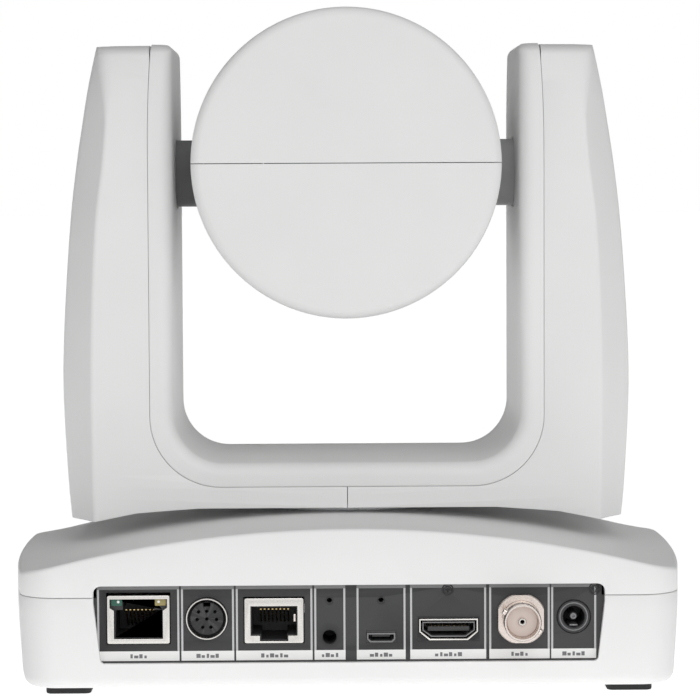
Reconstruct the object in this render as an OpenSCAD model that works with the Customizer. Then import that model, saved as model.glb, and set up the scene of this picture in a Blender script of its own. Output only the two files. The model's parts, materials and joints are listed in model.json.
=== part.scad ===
// PTZ camera: a base with its connectors, a turning yoke and a tilting drum head.
// Millimetres. +Z up, the lens looks along -Y, the connectors face +Y.
// The origin is on the pan axis, in the plane that the feet stand on.

/* [Base] */
// Half of the base's greatest width
base_half_w = 89.7; // [88:0.1:93]
// Distance from the pan axis to the rear face
base_rear = 64; // [63:0.5:66]
// Distance from the pan axis to the front face
base_front = 70; // [68:0.5:74]
// Height of the top surface on the pan axis
base_top = 43.4; // [43:0.1:43.8]
// Height of the joint between the two base shells
base_split = 26.1; // [25.5:0.1:26.5]
// Wall of the base shells
base_wall = 2.6; // [2:0.1:3]

/* [Yoke] */
// Half of the depth of the yoke
yoke_half_d = 30; // [29:0.5:31]
// Half of the gap between the arms
gap_half = 47.3; // [46.5:0.1:48]
// Height of the top of the crossbar
crossbar_top = 57.3; // [57:0.1:58]
// Height of the tops of the arms
arm_top = 168.7; // [167:0.1:170]
// Radius of the inner corners of the yoke
u_corner = 13.7; // [12:0.1:15]
// Wall of the yoke covers
cover_wall = 2.3; // [2:0.1:2.5]

/* [Head] */
// Radius of the drum
drum_r = 41; // [40:0.5:41.5]
// Height of the drum's axis
drum_z = 137.5; // [137:0.1:138]
// Height of the tilt axis
tilt_z = 134.9; // [134.5:0.1:135.3]
// Distance from the tilt axis to the front of the drum
drum_front = 62; // [58:0.5:63]
// Distance from the tilt axis to the back of the drum
drum_back = 44; // [42:0.5:46]
// Radius of the tilt axles where they cross the gap
axle_r = 9.15; // [8.5:0.05:9.3]

/* [Drives] */
// Teeth on the big pan pulley
pan_big_teeth = 72; // [68:2:72]
// Teeth on the pan motor's pulley
pan_small_teeth = 18; // [16:1:20]
// Teeth on the big tilt pulley
tilt_big_teeth = 48; // [44:1:48]
// Teeth on the tilt motor's pulley
tilt_small_teeth = 12; // [12:1:14]

/* [Hidden] */
$fn = 64;
eps = 0.01;

shell_color = "whitesmoke";
panel_color = [0.22, 0.22, 0.23];
steel_color = [0.72, 0.73, 0.75];
board_color = [0.05, 0.3, 0.16];
black_color = [0.07, 0.07, 0.08];

// Base outline: sides that are long arcs, small rear corners, wide front corners.
side_arc_r = 430;
side_arc_y = -8;
rear_corner_r = 9;
front_corner_r = 45;
crown_r = 322;
deck_start = -28;
deck_angle = 7.4;
foot_h = 3.3;
foot_r = 5.8;
foot_x = 73;
foot_rear_y = 50;
foot_front_y = -50;
shell_bottom = 2.4;
floor_top = 6;

// Rear panel and the board behind it.
panel_half_w = 65.3;
panel_low = 9;
panel_high = 29.2;
panel_face = 61.6;
panel_t = 1.5;
board_top = 14;
board_t = 1.6;
board_front = 12;
board_back = 59.5;
board_half_w = 67;
// Centre of each connector along X.
network_x = 54.3;
din_x = 36.7;
modular_x = 19.4;
audio_x = 5.1;
micro_x = -8.2;
video_x = -25.6;
coax_x = -44.2;
dc_x = -57.9;
din_z = 20.4;
coax_z = 20;
dc_z = 20.3;
audio_z = 15.4;
jack_fit = 0.15;
audio_mouth = 60;

// Pan drive. A belt tooth takes 2 mm of the pulley's circumference.
tooth_pitch = 2;
pan_big_r = pan_big_teeth * tooth_pitch / (2 * PI);
pan_small_r = pan_small_teeth * tooth_pitch / (2 * PI);
tilt_big_r = tilt_big_teeth * tooth_pitch / (2 * PI);
tilt_small_r = tilt_small_teeth * tooth_pitch / (2 * PI);
pan_motor_pos = [-50, -28];
pan_pulley_z = 21.5;
pan_pulley_h = 7;
belt_gap = 0.25;
belt_t = 1.2;
hub_tube_r = 14;
hub_bore_r = 9.5;
hub_seat_r = 20;
hub_neck_r = 22;
hub_top = 47.3;
bearing_z = 29.2;
bearing_h = 5.6;
ball_circle_r = 24.5;
ball_r = 2;
race_out_r = 29;
plate_z = 31;
plate_t = 2;
pillar_xy = [[-28, -50], [44, -50], [44, 4], [-44, 4]];
shaft_r = 1.5;
shaft_fit = 0.05;

// Yoke.
seam_half = 53;
seam_floor = 50.9;
seam_corner = 19;
seam_gap = 0.1;
chassis_x = 51;
chassis_t = 2;
chassis_half_d = 20;
tilt_bearing_r = 11;
journal_r = 6.97;
tilt_bearing_bore = 7;
tilt_motor_z = 92;
tilt_motor_r = 17.5;
tilt_belt_x = 63.9;

// Head.
head_wall = 2.4;
shell_front = -57;
lens_z = drum_z;
lens_half_w = 22;
lens_low = 111;
lens_high = 160;
lens_front = -50;
lens_back = 24;
lens_bore_r = 17;
rod_offset = 13.4;
rod_r = 1;

module ycyl(r, y1, y2, x = 0, z = 0) {
    translate([x, y1, z]) rotate([-90, 0, 0]) cylinder(r = r, h = y2 - y1);
}

module xcyl(r, x1, x2, y = 0, z = 0) {
    translate([x1, y, z]) rotate([0, 90, 0]) cylinder(r = r, h = x2 - x1);
}

module zcyl(r, z1, z2, x = 0, y = 0) {
    translate([x, y, z1]) cylinder(r = r, h = z2 - z1);
}

module block(x1, x2, y1, y2, z1, z2) {
    translate([x1, y1, z1]) cube([x2 - x1, y2 - y1, z2 - z1]);
}

// Straight extrusion along Y of a shape drawn with x across and z up.
module along_y(y1, y2) {
    translate([0, y2, 0]) rotate([90, 0, 0]) linear_extrude(y2 - y1) children();
}

// Straight extrusion along X of a shape drawn with y across and z up.
module along_x(x1, x2) {
    translate([x1, 0, 0]) rotate([90, 0, 90]) linear_extrude(x2 - x1) children();
}

// ---------- outlines ----------

function side_half_w(y, inset) =
    base_half_w - inset - pow(y - side_arc_y, 2) / (2 * side_arc_r);

// One side of the base, from the front corner to the rear corner.
function plan_side(inset) = concat(
    [for (a = [90:-9:0])
        let (r = front_corner_r - inset, y = -base_front + inset + r * (1 - sin(a)))
        [side_half_w(y, inset) - r * (1 - cos(a)), y]],
    [for (y = [0:22:44]) [side_half_w(y, inset), y]],
    [for (a = [0:15:90])
        let (r = max(rear_corner_r - inset, 1), y = base_rear - inset - r * (1 - sin(a)))
        [side_half_w(y, inset) - r * (1 - cos(a)), y]]);

function mirrored(points) = concat(
    points, [for (i = [len(points) - 1:-1:0]) [-points[i][0], points[i][1]]]);

// Open-topped U: half width a, floor b, corner radius r.
function u_outline(a, b, r, top) = mirrored(concat(
    [for (t = [-90:7.5:0]) [a - r + r * cos(t), b + r + r * sin(t)]],
    [[a, top]]));

// Outline of an open belt round two circles, at a distance d outside them.
function belt_outline(c1, r1, c2, r2, d) =
    let (v = c2 - c1, l = norm(v), dir = atan2(v[1], v[0]), lean = acos((r1 - r2) / l))
    concat(
        [for (k = [0:40]) let (t = dir + lean + k * (360 - 2 * lean) / 40)
            c1 + (r1 + d) * [cos(t), sin(t)]],
        [for (k = [0:14]) let (t = dir - lean + k * 2 * lean / 14)
            c2 + (r2 + d) * [cos(t), sin(t)]]);

module belt_ring(c1, r1, c2, r2) {
    difference() {
        polygon(belt_outline(c1, r1, c2, r2, belt_gap + belt_t));
        polygon(belt_outline(c1, r1, c2, r2, belt_gap));
    }
}

// Toothed wheel: the teeth are shallow notches in a plain disc.
module toothed_disc(r, teeth) {
    difference() {
        circle(r = r);
        for (i = [0:teeth - 1])
            rotate(i * 360 / teeth) translate([r, 0]) square([0.7, tooth_pitch / 2], center = true);
    }
}

// ---------- base ----------

module plan(inset, z1, z2) {
    translate([0, 0, z1]) linear_extrude(z2 - z1) polygon(mirrored(plan_side(inset)));
}

// Space under the crowned top: a long cylinder along Y, and in front the same one, sloping.
module under_crown(depth) {
    r = crown_r - depth;
    intersection() {
        translate([0, 0, base_top - crown_r])
            ycyl(r, -base_front - 5, base_rear + 5);
        translate([0, deck_start, base_top - crown_r]) rotate([deck_angle, 0, 0])
            translate([0, -60, (1 - cos(deck_angle)) * -r])
            ycyl(r, -60, 220);
    }
}

module panel_opening(grow, y1, y2) {
    block(-panel_half_w - grow, panel_half_w + grow, y1, y2,
        panel_low - grow, panel_high + grow);
}

module at_board_posts() {
    for (x = [-61, 61])
        for (y = [18, 36])
            translate([x, y, 0]) children();
}

module at_shell_screws() {
    for (p = [[-72, -30], [72, -30], [-77, 32], [77, 32]])
        translate([p[0], p[1], 0]) children();
}

module at_feet() {
    for (x = [-foot_x, foot_x])
        for (y = [foot_front_y, foot_rear_y])
            translate([x + (y < 0 ? -sign(x) * 12 : 0), y, 0]) children();
}

module at_bracket_holes() {
    for (x = [-25, 25])
        for (y = [-25, 25])
            translate([x, y, 0]) children();
}

module base_lower_shell() {
    color(shell_color) difference() {
        union() {
            difference() {
                hull() {
                    plan(3.4, shell_bottom, shell_bottom + eps);
                    plan(1.4, 4.2, 4.2 + eps);
                    plan(0.8, 8, 8 + eps);
                    plan(0, 20, base_split - 0.05);
                }
                plan(base_wall + 0.8, floor_top, base_split + 1);
            }
            at_board_posts() zcyl(3, floor_top - 1, board_top - board_t);
            at_shell_screws() zcyl(3.6, floor_top - 1, base_split - 0.05);
            at_bracket_holes() zcyl(3.4, floor_top - 1, 11.5);
            zcyl(9, floor_top - 1, 12);
        }
        panel_opening(0, base_rear - 12, base_rear + 1);
        block(-panel_half_w - 1.7, panel_half_w + 1.7, panel_face - panel_t - 0.1,
            panel_face + 0.1, panel_low - 1.7, panel_high);
        at_feet() zcyl(foot_r + 0.05, 0, foot_h);
        at_board_posts() zcyl(1.25, floor_top + 1, 20);
        at_shell_screws() {
            zcyl(1.5, 0, 40);
            zcyl(3, 0, 6.5);
        }
        at_bracket_holes() zcyl(1.25, 0, 10.5);
        zcyl(6, 0, 20);
        for (i = [-4:4])
            block(i * 6 - 1, i * 6 + 1, -60, -42, 0, floor_top + 1);
        block(-16, 16, -base_front - 1, -base_front + 8, 15, 40);
    }
}

module base_upper_shell() {
    color(shell_color) difference() {
        union() {
            difference() {
                intersection() {
                    plan(0, base_split + 0.2, 50);
                    under_crown(0);
                }
                intersection() {
                    plan(base_wall, base_split - 1, 50);
                    under_crown(base_wall);
                }
            }
            intersection() {
                at_shell_screws() zcyl(3.6, base_split + 0.2, 40);
                under_crown(0.5);
            }
        }
        panel_opening(0, base_rear - 12, base_rear + 1);
        at_shell_screws() zcyl(1.25, 20, 29);
        zcyl(hub_neck_r + 1.5, 30, 60);
        block(-16, 16, -base_front - 1, -base_front + 8, 15, 33);
        zcyl(1.25, 20, 60, 30, -60);
    }
}

module rubber_feet() {
    color(black_color) at_feet() {
        zcyl(foot_r, 0.6, foot_h);
        cylinder(r1 = foot_r - 0.6, r2 = foot_r, h = 0.6);
    }
}

module rear_panel() {
    color(panel_color) difference() {
        union() {
            panel_opening(-0.2, panel_face - panel_t, panel_face);
            block(-panel_half_w - 1.5, panel_half_w + 1.5, panel_face - panel_t, panel_face,
                panel_low - 1.5, base_split - 0.2);
        }
        jack_cutouts();
        for (p = [[video_x, 27.5], [dc_x - 5.4, 27.5]])
            ycyl(0.9, 50, 70, p[0], p[1]);
        for (p = [[audio_x, 25], [micro_x, 25]])
            ycyl(0.7, 50, 70, p[0], p[1]);
    }
}

module jack_cutouts() {
    for (p = [[network_x, 8.1, 14, 27.1], [modular_x, 7.7, 14, 25.8],
              [video_x, 7.8, 14.3, 20.5], [micro_x, 3.7, 14, 16.9]])
        block(p[0] - p[1] - jack_fit, p[0] + p[1] + jack_fit, 50, 70, p[2] - jack_fit,
            p[3] + jack_fit);
    for (p = [[din_x, din_z, 5.4], [audio_x, audio_z, 3.2], [coax_x, coax_z, 5.1],
              [dc_x, dc_z, 4.3]])
        ycyl(p[2] + jack_fit, 50, 70, p[0], p[1]);
}

module network_jack() {
    color(steel_color) difference() {
        block(network_x - 8.05, network_x + 8.05, 41, panel_face + 0.4, board_top, 27.1);
        block(network_x - 6.1, network_x + 6.1, 49, 70, 15.3, 23.5);
        block(network_x - 4.2, network_x + 4.2, 49, 70, 23.4, 25.6);
    }
}

module control_din_jack() {
    color(steel_color) difference() {
        union() {
            ycyl(5.3, 55, panel_face + 1, din_x, din_z);
            block(din_x - 6.5, din_x + 6.5, 45, 59, board_top, 27);
        }
        difference() {
            ycyl(4.6, 56, 70, din_x, din_z);
            ycyl(3.9, 55, panel_face + 0.2, din_x, din_z);
        }
        for (p = [[-2.6, 1.1], [-2.3, -1.1], [0, 2.5], [2.6, 1.1], [2.3, -1.1], [-0.9, 0.1],
                  [0.9, 0.1], [0, -1.6]])
            ycyl(0.45, 57, 70, din_x + p[0], din_z + p[1]);
    }
}

module modular_jack() {
    color(steel_color) difference() {
        block(modular_x - 7.6, modular_x + 7.6, 41, panel_face + 0.4, board_top, 25.8);
        block(modular_x - 6, modular_x + 6, 49, 70, 15.9, 23.6);
        block(modular_x - 3.6, modular_x + 3.6, 49, 70, 14.6, 16);
    }
}

module audio_jack() {
    color(black_color) difference() {
        union() {
            block(audio_x - 3.4, audio_x + 3.4, 46, 59, board_top - board_t - 0.4, 18.6);
            block(audio_x - 4.8, audio_x + 4.8, 46.5, 58.5, board_top, board_top + 0.8);
            ycyl(3.05, 58, panel_face + 0.8, audio_x, audio_z);
        }
        ycyl(1.8, 48, 70, audio_x, audio_z);
        translate([audio_x, audio_mouth, audio_z]) rotate([-90, 0, 0])
            cylinder(r1 = 1.8, r2 = 2.7, h = 2.6);
    }
}

module service_micro_jack() {
    color(steel_color) difference() {
        block(micro_x - 3.6, micro_x + 3.6, 56, panel_face + 0.3, board_top, 16.8);
        difference() {
            block(micro_x - 3.25, micro_x + 3.25, 57.5, 70, 14.35, 16.45);
            block(micro_x - 2.2, micro_x + 2.2, 57, panel_face - 0.4, 15.6, 16.2);
        }
    }
}

// Trapezium of the video socket: two lower corners are cut off.
module video_outline(inset) {
    polygon([
        [-7.7 + inset, 6.1 - inset], [7.7 - inset, 6.1 - inset], [7.7 - inset, 2.2],
        [5.6 - inset / 2, inset], [-5.6 + inset / 2, inset], [-7.7 + inset, 2.2]]);
}

module digital_video_jack() {
    color(steel_color) translate([video_x, 0, board_top + 0.4]) difference() {
        along_y(49, panel_face + 0.7) video_outline(0);
        difference() {
            along_y(51, 70) video_outline(0.5);
            block(-5.6, 5.6, 50, panel_face - 0.6, 2.4, 3.8);
        }
    }
    color(black_color)
        block(video_x - 5.2, video_x + 5.2, 49, 58, board_top, board_top + 0.4);
}

module coax_jack() {
    color(steel_color) difference() {
        union() {
            block(coax_x - 5, coax_x + 5, 46, 57, board_top, 26.4);
            ycyl(4.8, 56, 70, coax_x, coax_z);
            ycyl(6.2, panel_face, panel_face + 2, coax_x, coax_z);
        }
        difference() {
            ycyl(4.1, 61, 71, coax_x, coax_z);
            ycyl(2.4, 60, 68.5, coax_x, coax_z);
        }
        ycyl(1.1, 62, 71, coax_x, coax_z);
    }
}

module dc_power_jack() {
    color(black_color) difference() {
        union() {
            block(dc_x - 4.5, dc_x + 4.5, 47, 59, board_top, 25.6);
            ycyl(4.25, 58, panel_face + 0.9, dc_x, dc_z);
        }
        difference() {
            ycyl(2.85, 51, 70, dc_x, dc_z);
            ycyl(1, 50, panel_face, dc_x, dc_z);
        }
    }
}

module main_board() {
    color(board_color) difference() {
        union() {
            block(-board_half_w, board_half_w, board_front, board_back,
                board_top - board_t, board_top);
            block(-8, 8, 22, 38, board_top - eps, board_top + 1.4);
            block(24, 36, 20, 30, board_top - eps, board_top + 1.2);
            block(-36, -26, 22, 32, board_top - eps, board_top + 1.2);
            block(-50, -40, 18, 22, board_top - eps, board_top + 5);
            for (x = [42, 48])
                zcyl(2.5, board_top - eps, board_top + 6, x, 26);
        }
        at_board_posts() zcyl(1.6, 0, 40);
        block(audio_x - 3.5, audio_x + 3.5, 45.9, board_back + 1, 0, 20);
    }
}

module processor_heatsink() {
    color(black_color) {
        block(-9, 9, 21, 39, board_top + 1.4, board_top + 3);
        for (i = [0:5])
            block(-9 + i * 3.36, -7.8 + i * 3.36, 28, 39, board_top + 2.9, board_top + 8);
    }
}

module pan_chassis() {
    color(steel_color) difference() {
        union() {
            translate([0, 0, plate_z]) linear_extrude(plate_t)
                polygon([[-34, -54], [48, -54], [50, 10], [36, 34], [-36, 34], [-50, 10],
                    [-50, -4]]);
            zcyl(race_out_r + 3, bearing_z - 0.6, bearing_z + bearing_h);
            for (p = pillar_xy)
                zcyl(3, floor_top, plate_z + 1, p[0], p[1]);
        }
        zcyl(race_out_r, bearing_z, 60);
        zcyl(race_out_r - 1.5, 20, 60);
    }
}

module bearing_ring(r1, r2) {
    difference() {
        zcyl(r2, bearing_z, bearing_z + bearing_h);
        zcyl(r1, 0, 60);
        translate([0, 0, bearing_z + bearing_h / 2]) rotate_extrude()
            translate([ball_circle_r, 0]) circle(r = ball_r + 0.06, $fn = 48);
    }
}

module pan_bearing_outer() {
    color(steel_color) bearing_ring(ball_circle_r + 1.7, race_out_r);
}

module pan_bearing_inner() {
    color(steel_color) bearing_ring(hub_seat_r, ball_circle_r - 1.7);
}

module pan_bearing_balls() {
    color("goldenrod") {
        for (i = [0:19])
            rotate(i * 18) translate([ball_circle_r, 0, bearing_z + bearing_h / 2])
                sphere(r = ball_r, $fn = 32);
        difference() {
            zcyl(ball_circle_r + 0.5, bearing_z + 1.9, bearing_z + 3.7);
            zcyl(ball_circle_r - 0.5, 0, 60);
        }
    }
}

module pan_motor() {
    color(steel_color) translate([pan_motor_pos[0], pan_motor_pos[1], 0]) difference() {
        union() {
            zcyl(17.5, floor_top, 19.5);
            zcyl(5, 19, 20.8);
            block(-4, 4, -21, 21, 18, 19.5);
        }
        zcyl(shaft_r + shaft_fit, 9.9, 40);
        for (y = [-19.2, 19.2])
            zcyl(1.2, 10, 30, 0, y);
    }
}

module pan_belt() {
    color(black_color) translate([0, 0, pan_pulley_z + 0.6]) linear_extrude(pan_pulley_h - 1.2)
        belt_ring([0, 0], pan_big_r, pan_motor_pos, pan_small_r);
}

// Pulley with its bottom at z = 0: teeth between two thin rims.
module pulley(r, teeth, bore, height, rim) {
    difference() {
        union() {
            linear_extrude(height) toothed_disc(r, teeth);
            zcyl(r + rim, 0, 0.45);
            zcyl(r + rim, height - 0.45, height);
        }
        zcyl(bore, -1, height + 1);
    }
}

module pan_pulley() {
    color(steel_color) translate([0, 0, pan_pulley_z]) {
        pulley(pan_big_r, pan_big_teeth, hub_tube_r, pan_pulley_h, 1.5);
        block(hub_tube_r + 1, 27.3, -2, 2, -0.8, 0.4);
    }
}

module pan_motor_pulley() {
    color("goldenrod") translate([pan_motor_pos[0], pan_motor_pos[1], 0]) {
        translate([0, 0, pan_pulley_z])
            pulley(pan_small_r, pan_small_teeth, 1, pan_pulley_h, 1.5);
        zcyl(shaft_r, 10, pan_pulley_z + pan_pulley_h);
    }
}

module pan_home_sensor() {
    color(black_color) difference() {
        union() {
            block(25.3, 38, -4, 4, 18, 28.5);
            block(32.4, 38, -4, 4, 28, plate_z);
        }
        block(25, 29, -5, 5, 19.8, 22.3);
    }
}

module tripod_insert() {
    color("goldenrod") difference() {
        union() {
            zcyl(6, shell_bottom, 12);
            zcyl(8, 12, 13);
        }
        zcyl(2.6, 0, 12);
    }
}

module infrared_window() {
    color([0.2, 0.02, 0.05]) {
        block(-15.8, 15.8, -base_front + 0.2, -base_front + 2.2, 15.2, 32.8);
        block(-13, 13, -base_front + 2.1, -base_front + 6, 17, 31);
    }
}

module status_light_pipe() {
    color("lightcyan") translate([30, -60, 0]) {
        zcyl(1.2, 31, 38);
        zcyl(2.4, 32.8, 34.2);
    }
}

module base_screws() {
    color(steel_color) at_shell_screws() {
        zcyl(1.2, 6, 28.5);
        zcyl(2.8, 4.6, 6.5);
    }
}

module board_screws() {
    color(steel_color) at_board_posts() {
        zcyl(1.2, 8, board_top + 0.5);
        zcyl(2.4, board_top, board_top + 1.8);
    }
}

module panel_screws() {
    color(black_color) for (p = [[video_x, 27.5], [dc_x - 5.4, 27.5]]) {
        ycyl(0.88, panel_face - 4, panel_face + 0.2, p[0], p[1]);
        difference() {
            ycyl(1.4, panel_face, panel_face + 0.8, p[0], p[1]);
            block(p[0] - 1.2, p[0] + 1.2, panel_face + 0.4, 70, p[1] - 0.2, p[1] + 0.2);
        }
    }
}

// ---------- yoke ----------

// Height, half width at the widest line, and half width where the rear bevel starts.
arm_levels = [
    [38, 74.9, 67.8], [48, 75.9, 68.2], [67, 77, 68.4], [81, 77.3, 68.4], [100, 76.5, 68],
    [127, 74.6, 67.2], [146, 72.4, 66], [arm_top, 67.8, 63.6]];
bevel_y = 15;

module envelope(inset, top) {
    hull() for (l = arm_levels)
        translate([0, 0, min(l[0], top)]) linear_extrude(eps)
            let (w = l[1] - inset, f = l[2] - inset / 2, d = yoke_half_d - inset)
            polygon([[0, -d], [f, -d], [w, -bevel_y], [w, bevel_y], [f, d], [0, d]]);
}

// What lies under the yoke: it follows the base with a small gap, all the way round.
module under_yoke(lift) {
    translate([0, 0, lift]) rotate_extrude($fn = 96)
        polygon([[0, 20], [90, 20], [90, 37.8], [76.5, 41.1], [64, 43.9], [50, 44.9], [0, 44.9]]);
}

module outer_cover_half() {
    difference() {
        envelope(0, arm_top);
        difference() {
            envelope(cover_wall, arm_top - cover_wall);
            under_yoke(cover_wall);
            block(-1, cover_wall, -50, 50, 0, 60);
        }
        under_yoke(0);
        along_y(-40, 40)
            polygon(u_outline(seam_half + seam_gap, seam_floor - seam_gap, seam_corner, 200));
        block(-1, seam_gap, -50, 50, 0, 80);
        zcyl(hub_neck_r + 0.2, 30, 60);
        xcyl(tilt_bearing_r + 3.5, 50, seam_half + 1, 0, tilt_z);
        for (y = [-14, 14]) {
            zcyl(1.6, 30, 60, 34, y);
            zcyl(2.6, 30, 46.1, 34, y);
        }
    }
}

module yoke_outer_cover_right() {
    color(shell_color) outer_cover_half();
}

module yoke_outer_cover_left() {
    color(shell_color) mirror([1, 0, 0]) outer_cover_half();
}

module yoke_inner_cover() {
    color(shell_color) difference() {
        along_y(-yoke_half_d, yoke_half_d) difference() {
            polygon(u_outline(seam_half, seam_floor, seam_corner, arm_top));
            polygon(u_outline(gap_half, crossbar_top, u_corner, 200));
        }
        along_y(-yoke_half_d + cover_wall, yoke_half_d - cover_wall) difference() {
            polygon(u_outline(seam_half + 9, seam_floor - 9, seam_corner, arm_top - cover_wall));
            polygon(u_outline(gap_half + cover_wall, crossbar_top - cover_wall,
                u_corner + cover_wall, 200));
        }
        xcyl(axle_r + 0.45, -60, 60, 0, tilt_z);
    }
}

module yoke_chassis() {
    inner = chassis_x;
    outer = chassis_x + chassis_t;
    color(steel_color) difference() {
        union() {
            block(-outer, outer, -chassis_half_d, chassis_half_d, hub_top, hub_top + chassis_t);
            for (s = [-1, 1])
                mirror([s < 0 ? 1 : 0, 0, 0]) {
                    block(inner, outer, -chassis_half_d, chassis_half_d, hub_top, 148);
                    xcyl(tilt_bearing_r + 2.5, inner, outer + 3, 0, tilt_z);
                }
        }
        xcyl(tilt_bearing_r, -60, 60, 0, tilt_z);
        zcyl(hub_bore_r, 30, 60);
        xcyl(3, -60, -40, 0, 54.5);
        for (y = [-17, 17])
            zcyl(1.6, 30, 60, 0, y);
        for (x = [-34, 34])
            for (y = [-14, 14])
                zcyl(1.25, 30, 60, x, y);
        for (z = [68, 112])
            block(40, 60, -14, 14, z - 4, z + 4);
        for (z = [72, 92, 112])
            block(-60, -40, -9, 9, z - 6, z + 6);
        xcyl(4.2, 40, 60, 0, tilt_motor_z);
    }
}

module pan_hub() {
    color(steel_color) difference() {
        union() {
            zcyl(hub_tube_r, 20.6, bearing_z + 1);
            zcyl(hub_seat_r, pan_pulley_z + pan_pulley_h, bearing_z + bearing_h + 1);
            zcyl(hub_neck_r, bearing_z + bearing_h, hub_top);
        }
        zcyl(hub_bore_r, 0, 60);
        for (y = [-17, 17])
            zcyl(1.25, 38, 60, 0, y);
    }
}

module tilt_motor() {
    x0 = chassis_x + chassis_t;
    color(steel_color) difference() {
        union() {
            xcyl(tilt_motor_r, x0, 62.6, 0, tilt_motor_z);
            xcyl(4, chassis_x - 0.6, x0 + 1, 0, tilt_motor_z);
            block(62.2, 63, -4, 4, tilt_motor_z - 20, tilt_motor_z + 20);
        }
        xcyl(shaft_r + shaft_fit, x0 + 1.9, 80, 0, tilt_motor_z);
    }
}

module tilt_belt() {
    color(black_color) along_x(tilt_belt_x, tilt_belt_x + 4)
        belt_ring([0, tilt_z], tilt_big_r, [0, tilt_motor_z], tilt_small_r);
}

module tilt_motor_pulley() {
    color("goldenrod") {
        translate([63.4, 0, tilt_motor_z]) rotate([0, 90, 0])
            pulley(tilt_small_r, tilt_small_teeth, 1, 5, 1.4);
        xcyl(shaft_r, chassis_x + chassis_t + 2, 68.4, 0, tilt_motor_z);
    }
}

module tilt_bearing_right() {
    color(steel_color) difference() {
        xcyl(tilt_bearing_r, chassis_x, chassis_x + 5, 0, tilt_z);
        xcyl(tilt_bearing_bore, 0, 80, 0, tilt_z);
        for (x = [chassis_x, chassis_x + 5])
            difference() {
                xcyl(9.6, x - 0.4, x + 0.4, 0, tilt_z);
                xcyl(8.4, x - 1, x + 1, 0, tilt_z);
            }
    }
}

module tilt_bearing_left() {
    mirror([1, 0, 0]) tilt_bearing_right();
}

module yoke_board() {
    color(board_color) {
        block(-58, -56.4, -18, 18, 70, 118);
        block(-59.2, -57.9, -8, 4, 86, 98);
        block(-60.5, -57.9, -12, -4, 104, 109);
        block(-60.5, -57.9, 2, 10, 74, 80);
        for (y = [-15, 15])
            for (z = [73, 115])
                xcyl(2, -56.5, -chassis_x - chassis_t, y, z);
    }
}

// Cable from the hub's bore along the crossbar and through the left chassis plate.
harness_route = [[0, 0, 19], [0, 0, 51.6], [-40, 0, 51.6], [-46, 0, 54.5], [-54.8, 0, 54.5],
    [-54.8, 0, 62], [-54.8, 6, 69]];
harness_r = 1.6;

module yoke_harness() {
    color(black_color) {
        for (i = [0:len(harness_route) - 2])
            let (a = harness_route[i], b = harness_route[i + 1], v = b - a)
            translate(a) rotate([0, acos(v[2] / norm(v)), atan2(v[1], v[0])])
                cylinder(r = harness_r, h = norm(v), $fn = 24);
        for (i = [1:len(harness_route) - 2])
            translate(harness_route[i]) sphere(r = harness_r + 0.1, $fn = 24);
    }
}

module yoke_screws() {
    color(steel_color) {
        for (x = [-34, 34])
            for (y = [-14, 14]) {
                zcyl(1.2, 45.6, hub_top + chassis_t, x, y);
                zcyl(2.4, 45, 46.1, x, y);
            }
        for (y = [-17, 17]) {
            zcyl(1.2, 40, hub_top + chassis_t + 0.5, 0, y);
            zcyl(2.6, hub_top + chassis_t, hub_top + chassis_t + 2, 0, y);
        }
    }
}

// ---------- head ----------

// The drum's outer or inner surface, as a solid of revolution along Y.
module drum(inset, y1) {
    r = drum_r - inset;
    back = drum_back - inset;
    translate([0, 0, drum_z]) rotate([-90, 0, 0]) rotate_extrude($fn = 96)
        polygon(concat(
            [[0, y1], [r, y1]],
            [for (a = [0:15:75]) [r - 3 * (1 - cos(a)), back - 3.8 + 3 * sin(a)]],
            [[r - 10, back - 0.5], [0, back]]));
}

module head_shell() {
    difference() {
        drum(0, shell_front);
        drum(head_wall, shell_front - 1);
        xcyl(axle_r + 0.1, -60, 60, 0, tilt_z);
    }
}

module head_upper_shell() {
    color(shell_color) intersection() {
        head_shell();
        block(-60, 60, -80, 60, drum_z + 0.12, 200);
    }
}

module at_head_screws() {
    for (x = [-13, 13])
        for (y = [-27, 14])
            translate([x, y, 0]) children();
}

module head_lower_shell() {
    color(shell_color) difference() {
        union() {
            intersection() {
                head_shell();
                block(-60, 60, -80, 60, 80, drum_z - 0.12);
            }
            intersection() {
                at_head_screws() zcyl(3.8, 96, 109);
                drum(1, shell_front);
            }
        }
        at_head_screws() {
            zcyl(1.6, 90, 110);
            zcyl(3, 90, 102.5);
        }
    }
}

module head_screws() {
    color(steel_color) at_head_screws() {
        zcyl(1.45, 102, 110.9);
        zcyl(2.8, 100.5, 102.5);
    }
}

module front_bezel() {
    rim = drum_r - head_wall - 0.05;
    color(black_color) translate([0, 0, drum_z]) rotate([-90, 0, 0]) rotate_extrude($fn = 96)
        polygon([[27, -60.5], [29, -drum_front], [drum_r - 1.6, -drum_front],
            [drum_r, 1.6 - drum_front], [drum_r, shell_front], [rim, shell_front],
            [rim, shell_front + 3], [35, shell_front + 3], [35, -57.5], [27, -57.5]]);
}

module front_glass() {
    color([0.1, 0.1, 0.12]) translate([0, 0, drum_z])
        ycyl(26.95, -60.2, -58.6);
}

module lens_body() {
    color(black_color) difference() {
        union() {
            block(-lens_half_w, lens_half_w, lens_front + 8, lens_back, lens_low, lens_high);
            ycyl(20.5, lens_front - 4, lens_front + 9, 0, lens_z);
        }
        ycyl(lens_bore_r, -80, lens_back - 4, 0, lens_z);
        ycyl(9, 0, 40, 0, lens_z);
        for (s = [-1, 1])
            ycyl(rod_r + 0.02, 0, lens_back - 1, s * rod_offset, lens_z);
        block(lens_half_w - 3, lens_half_w + 1, -30, 16, 118, 130);
    }
}

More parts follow.
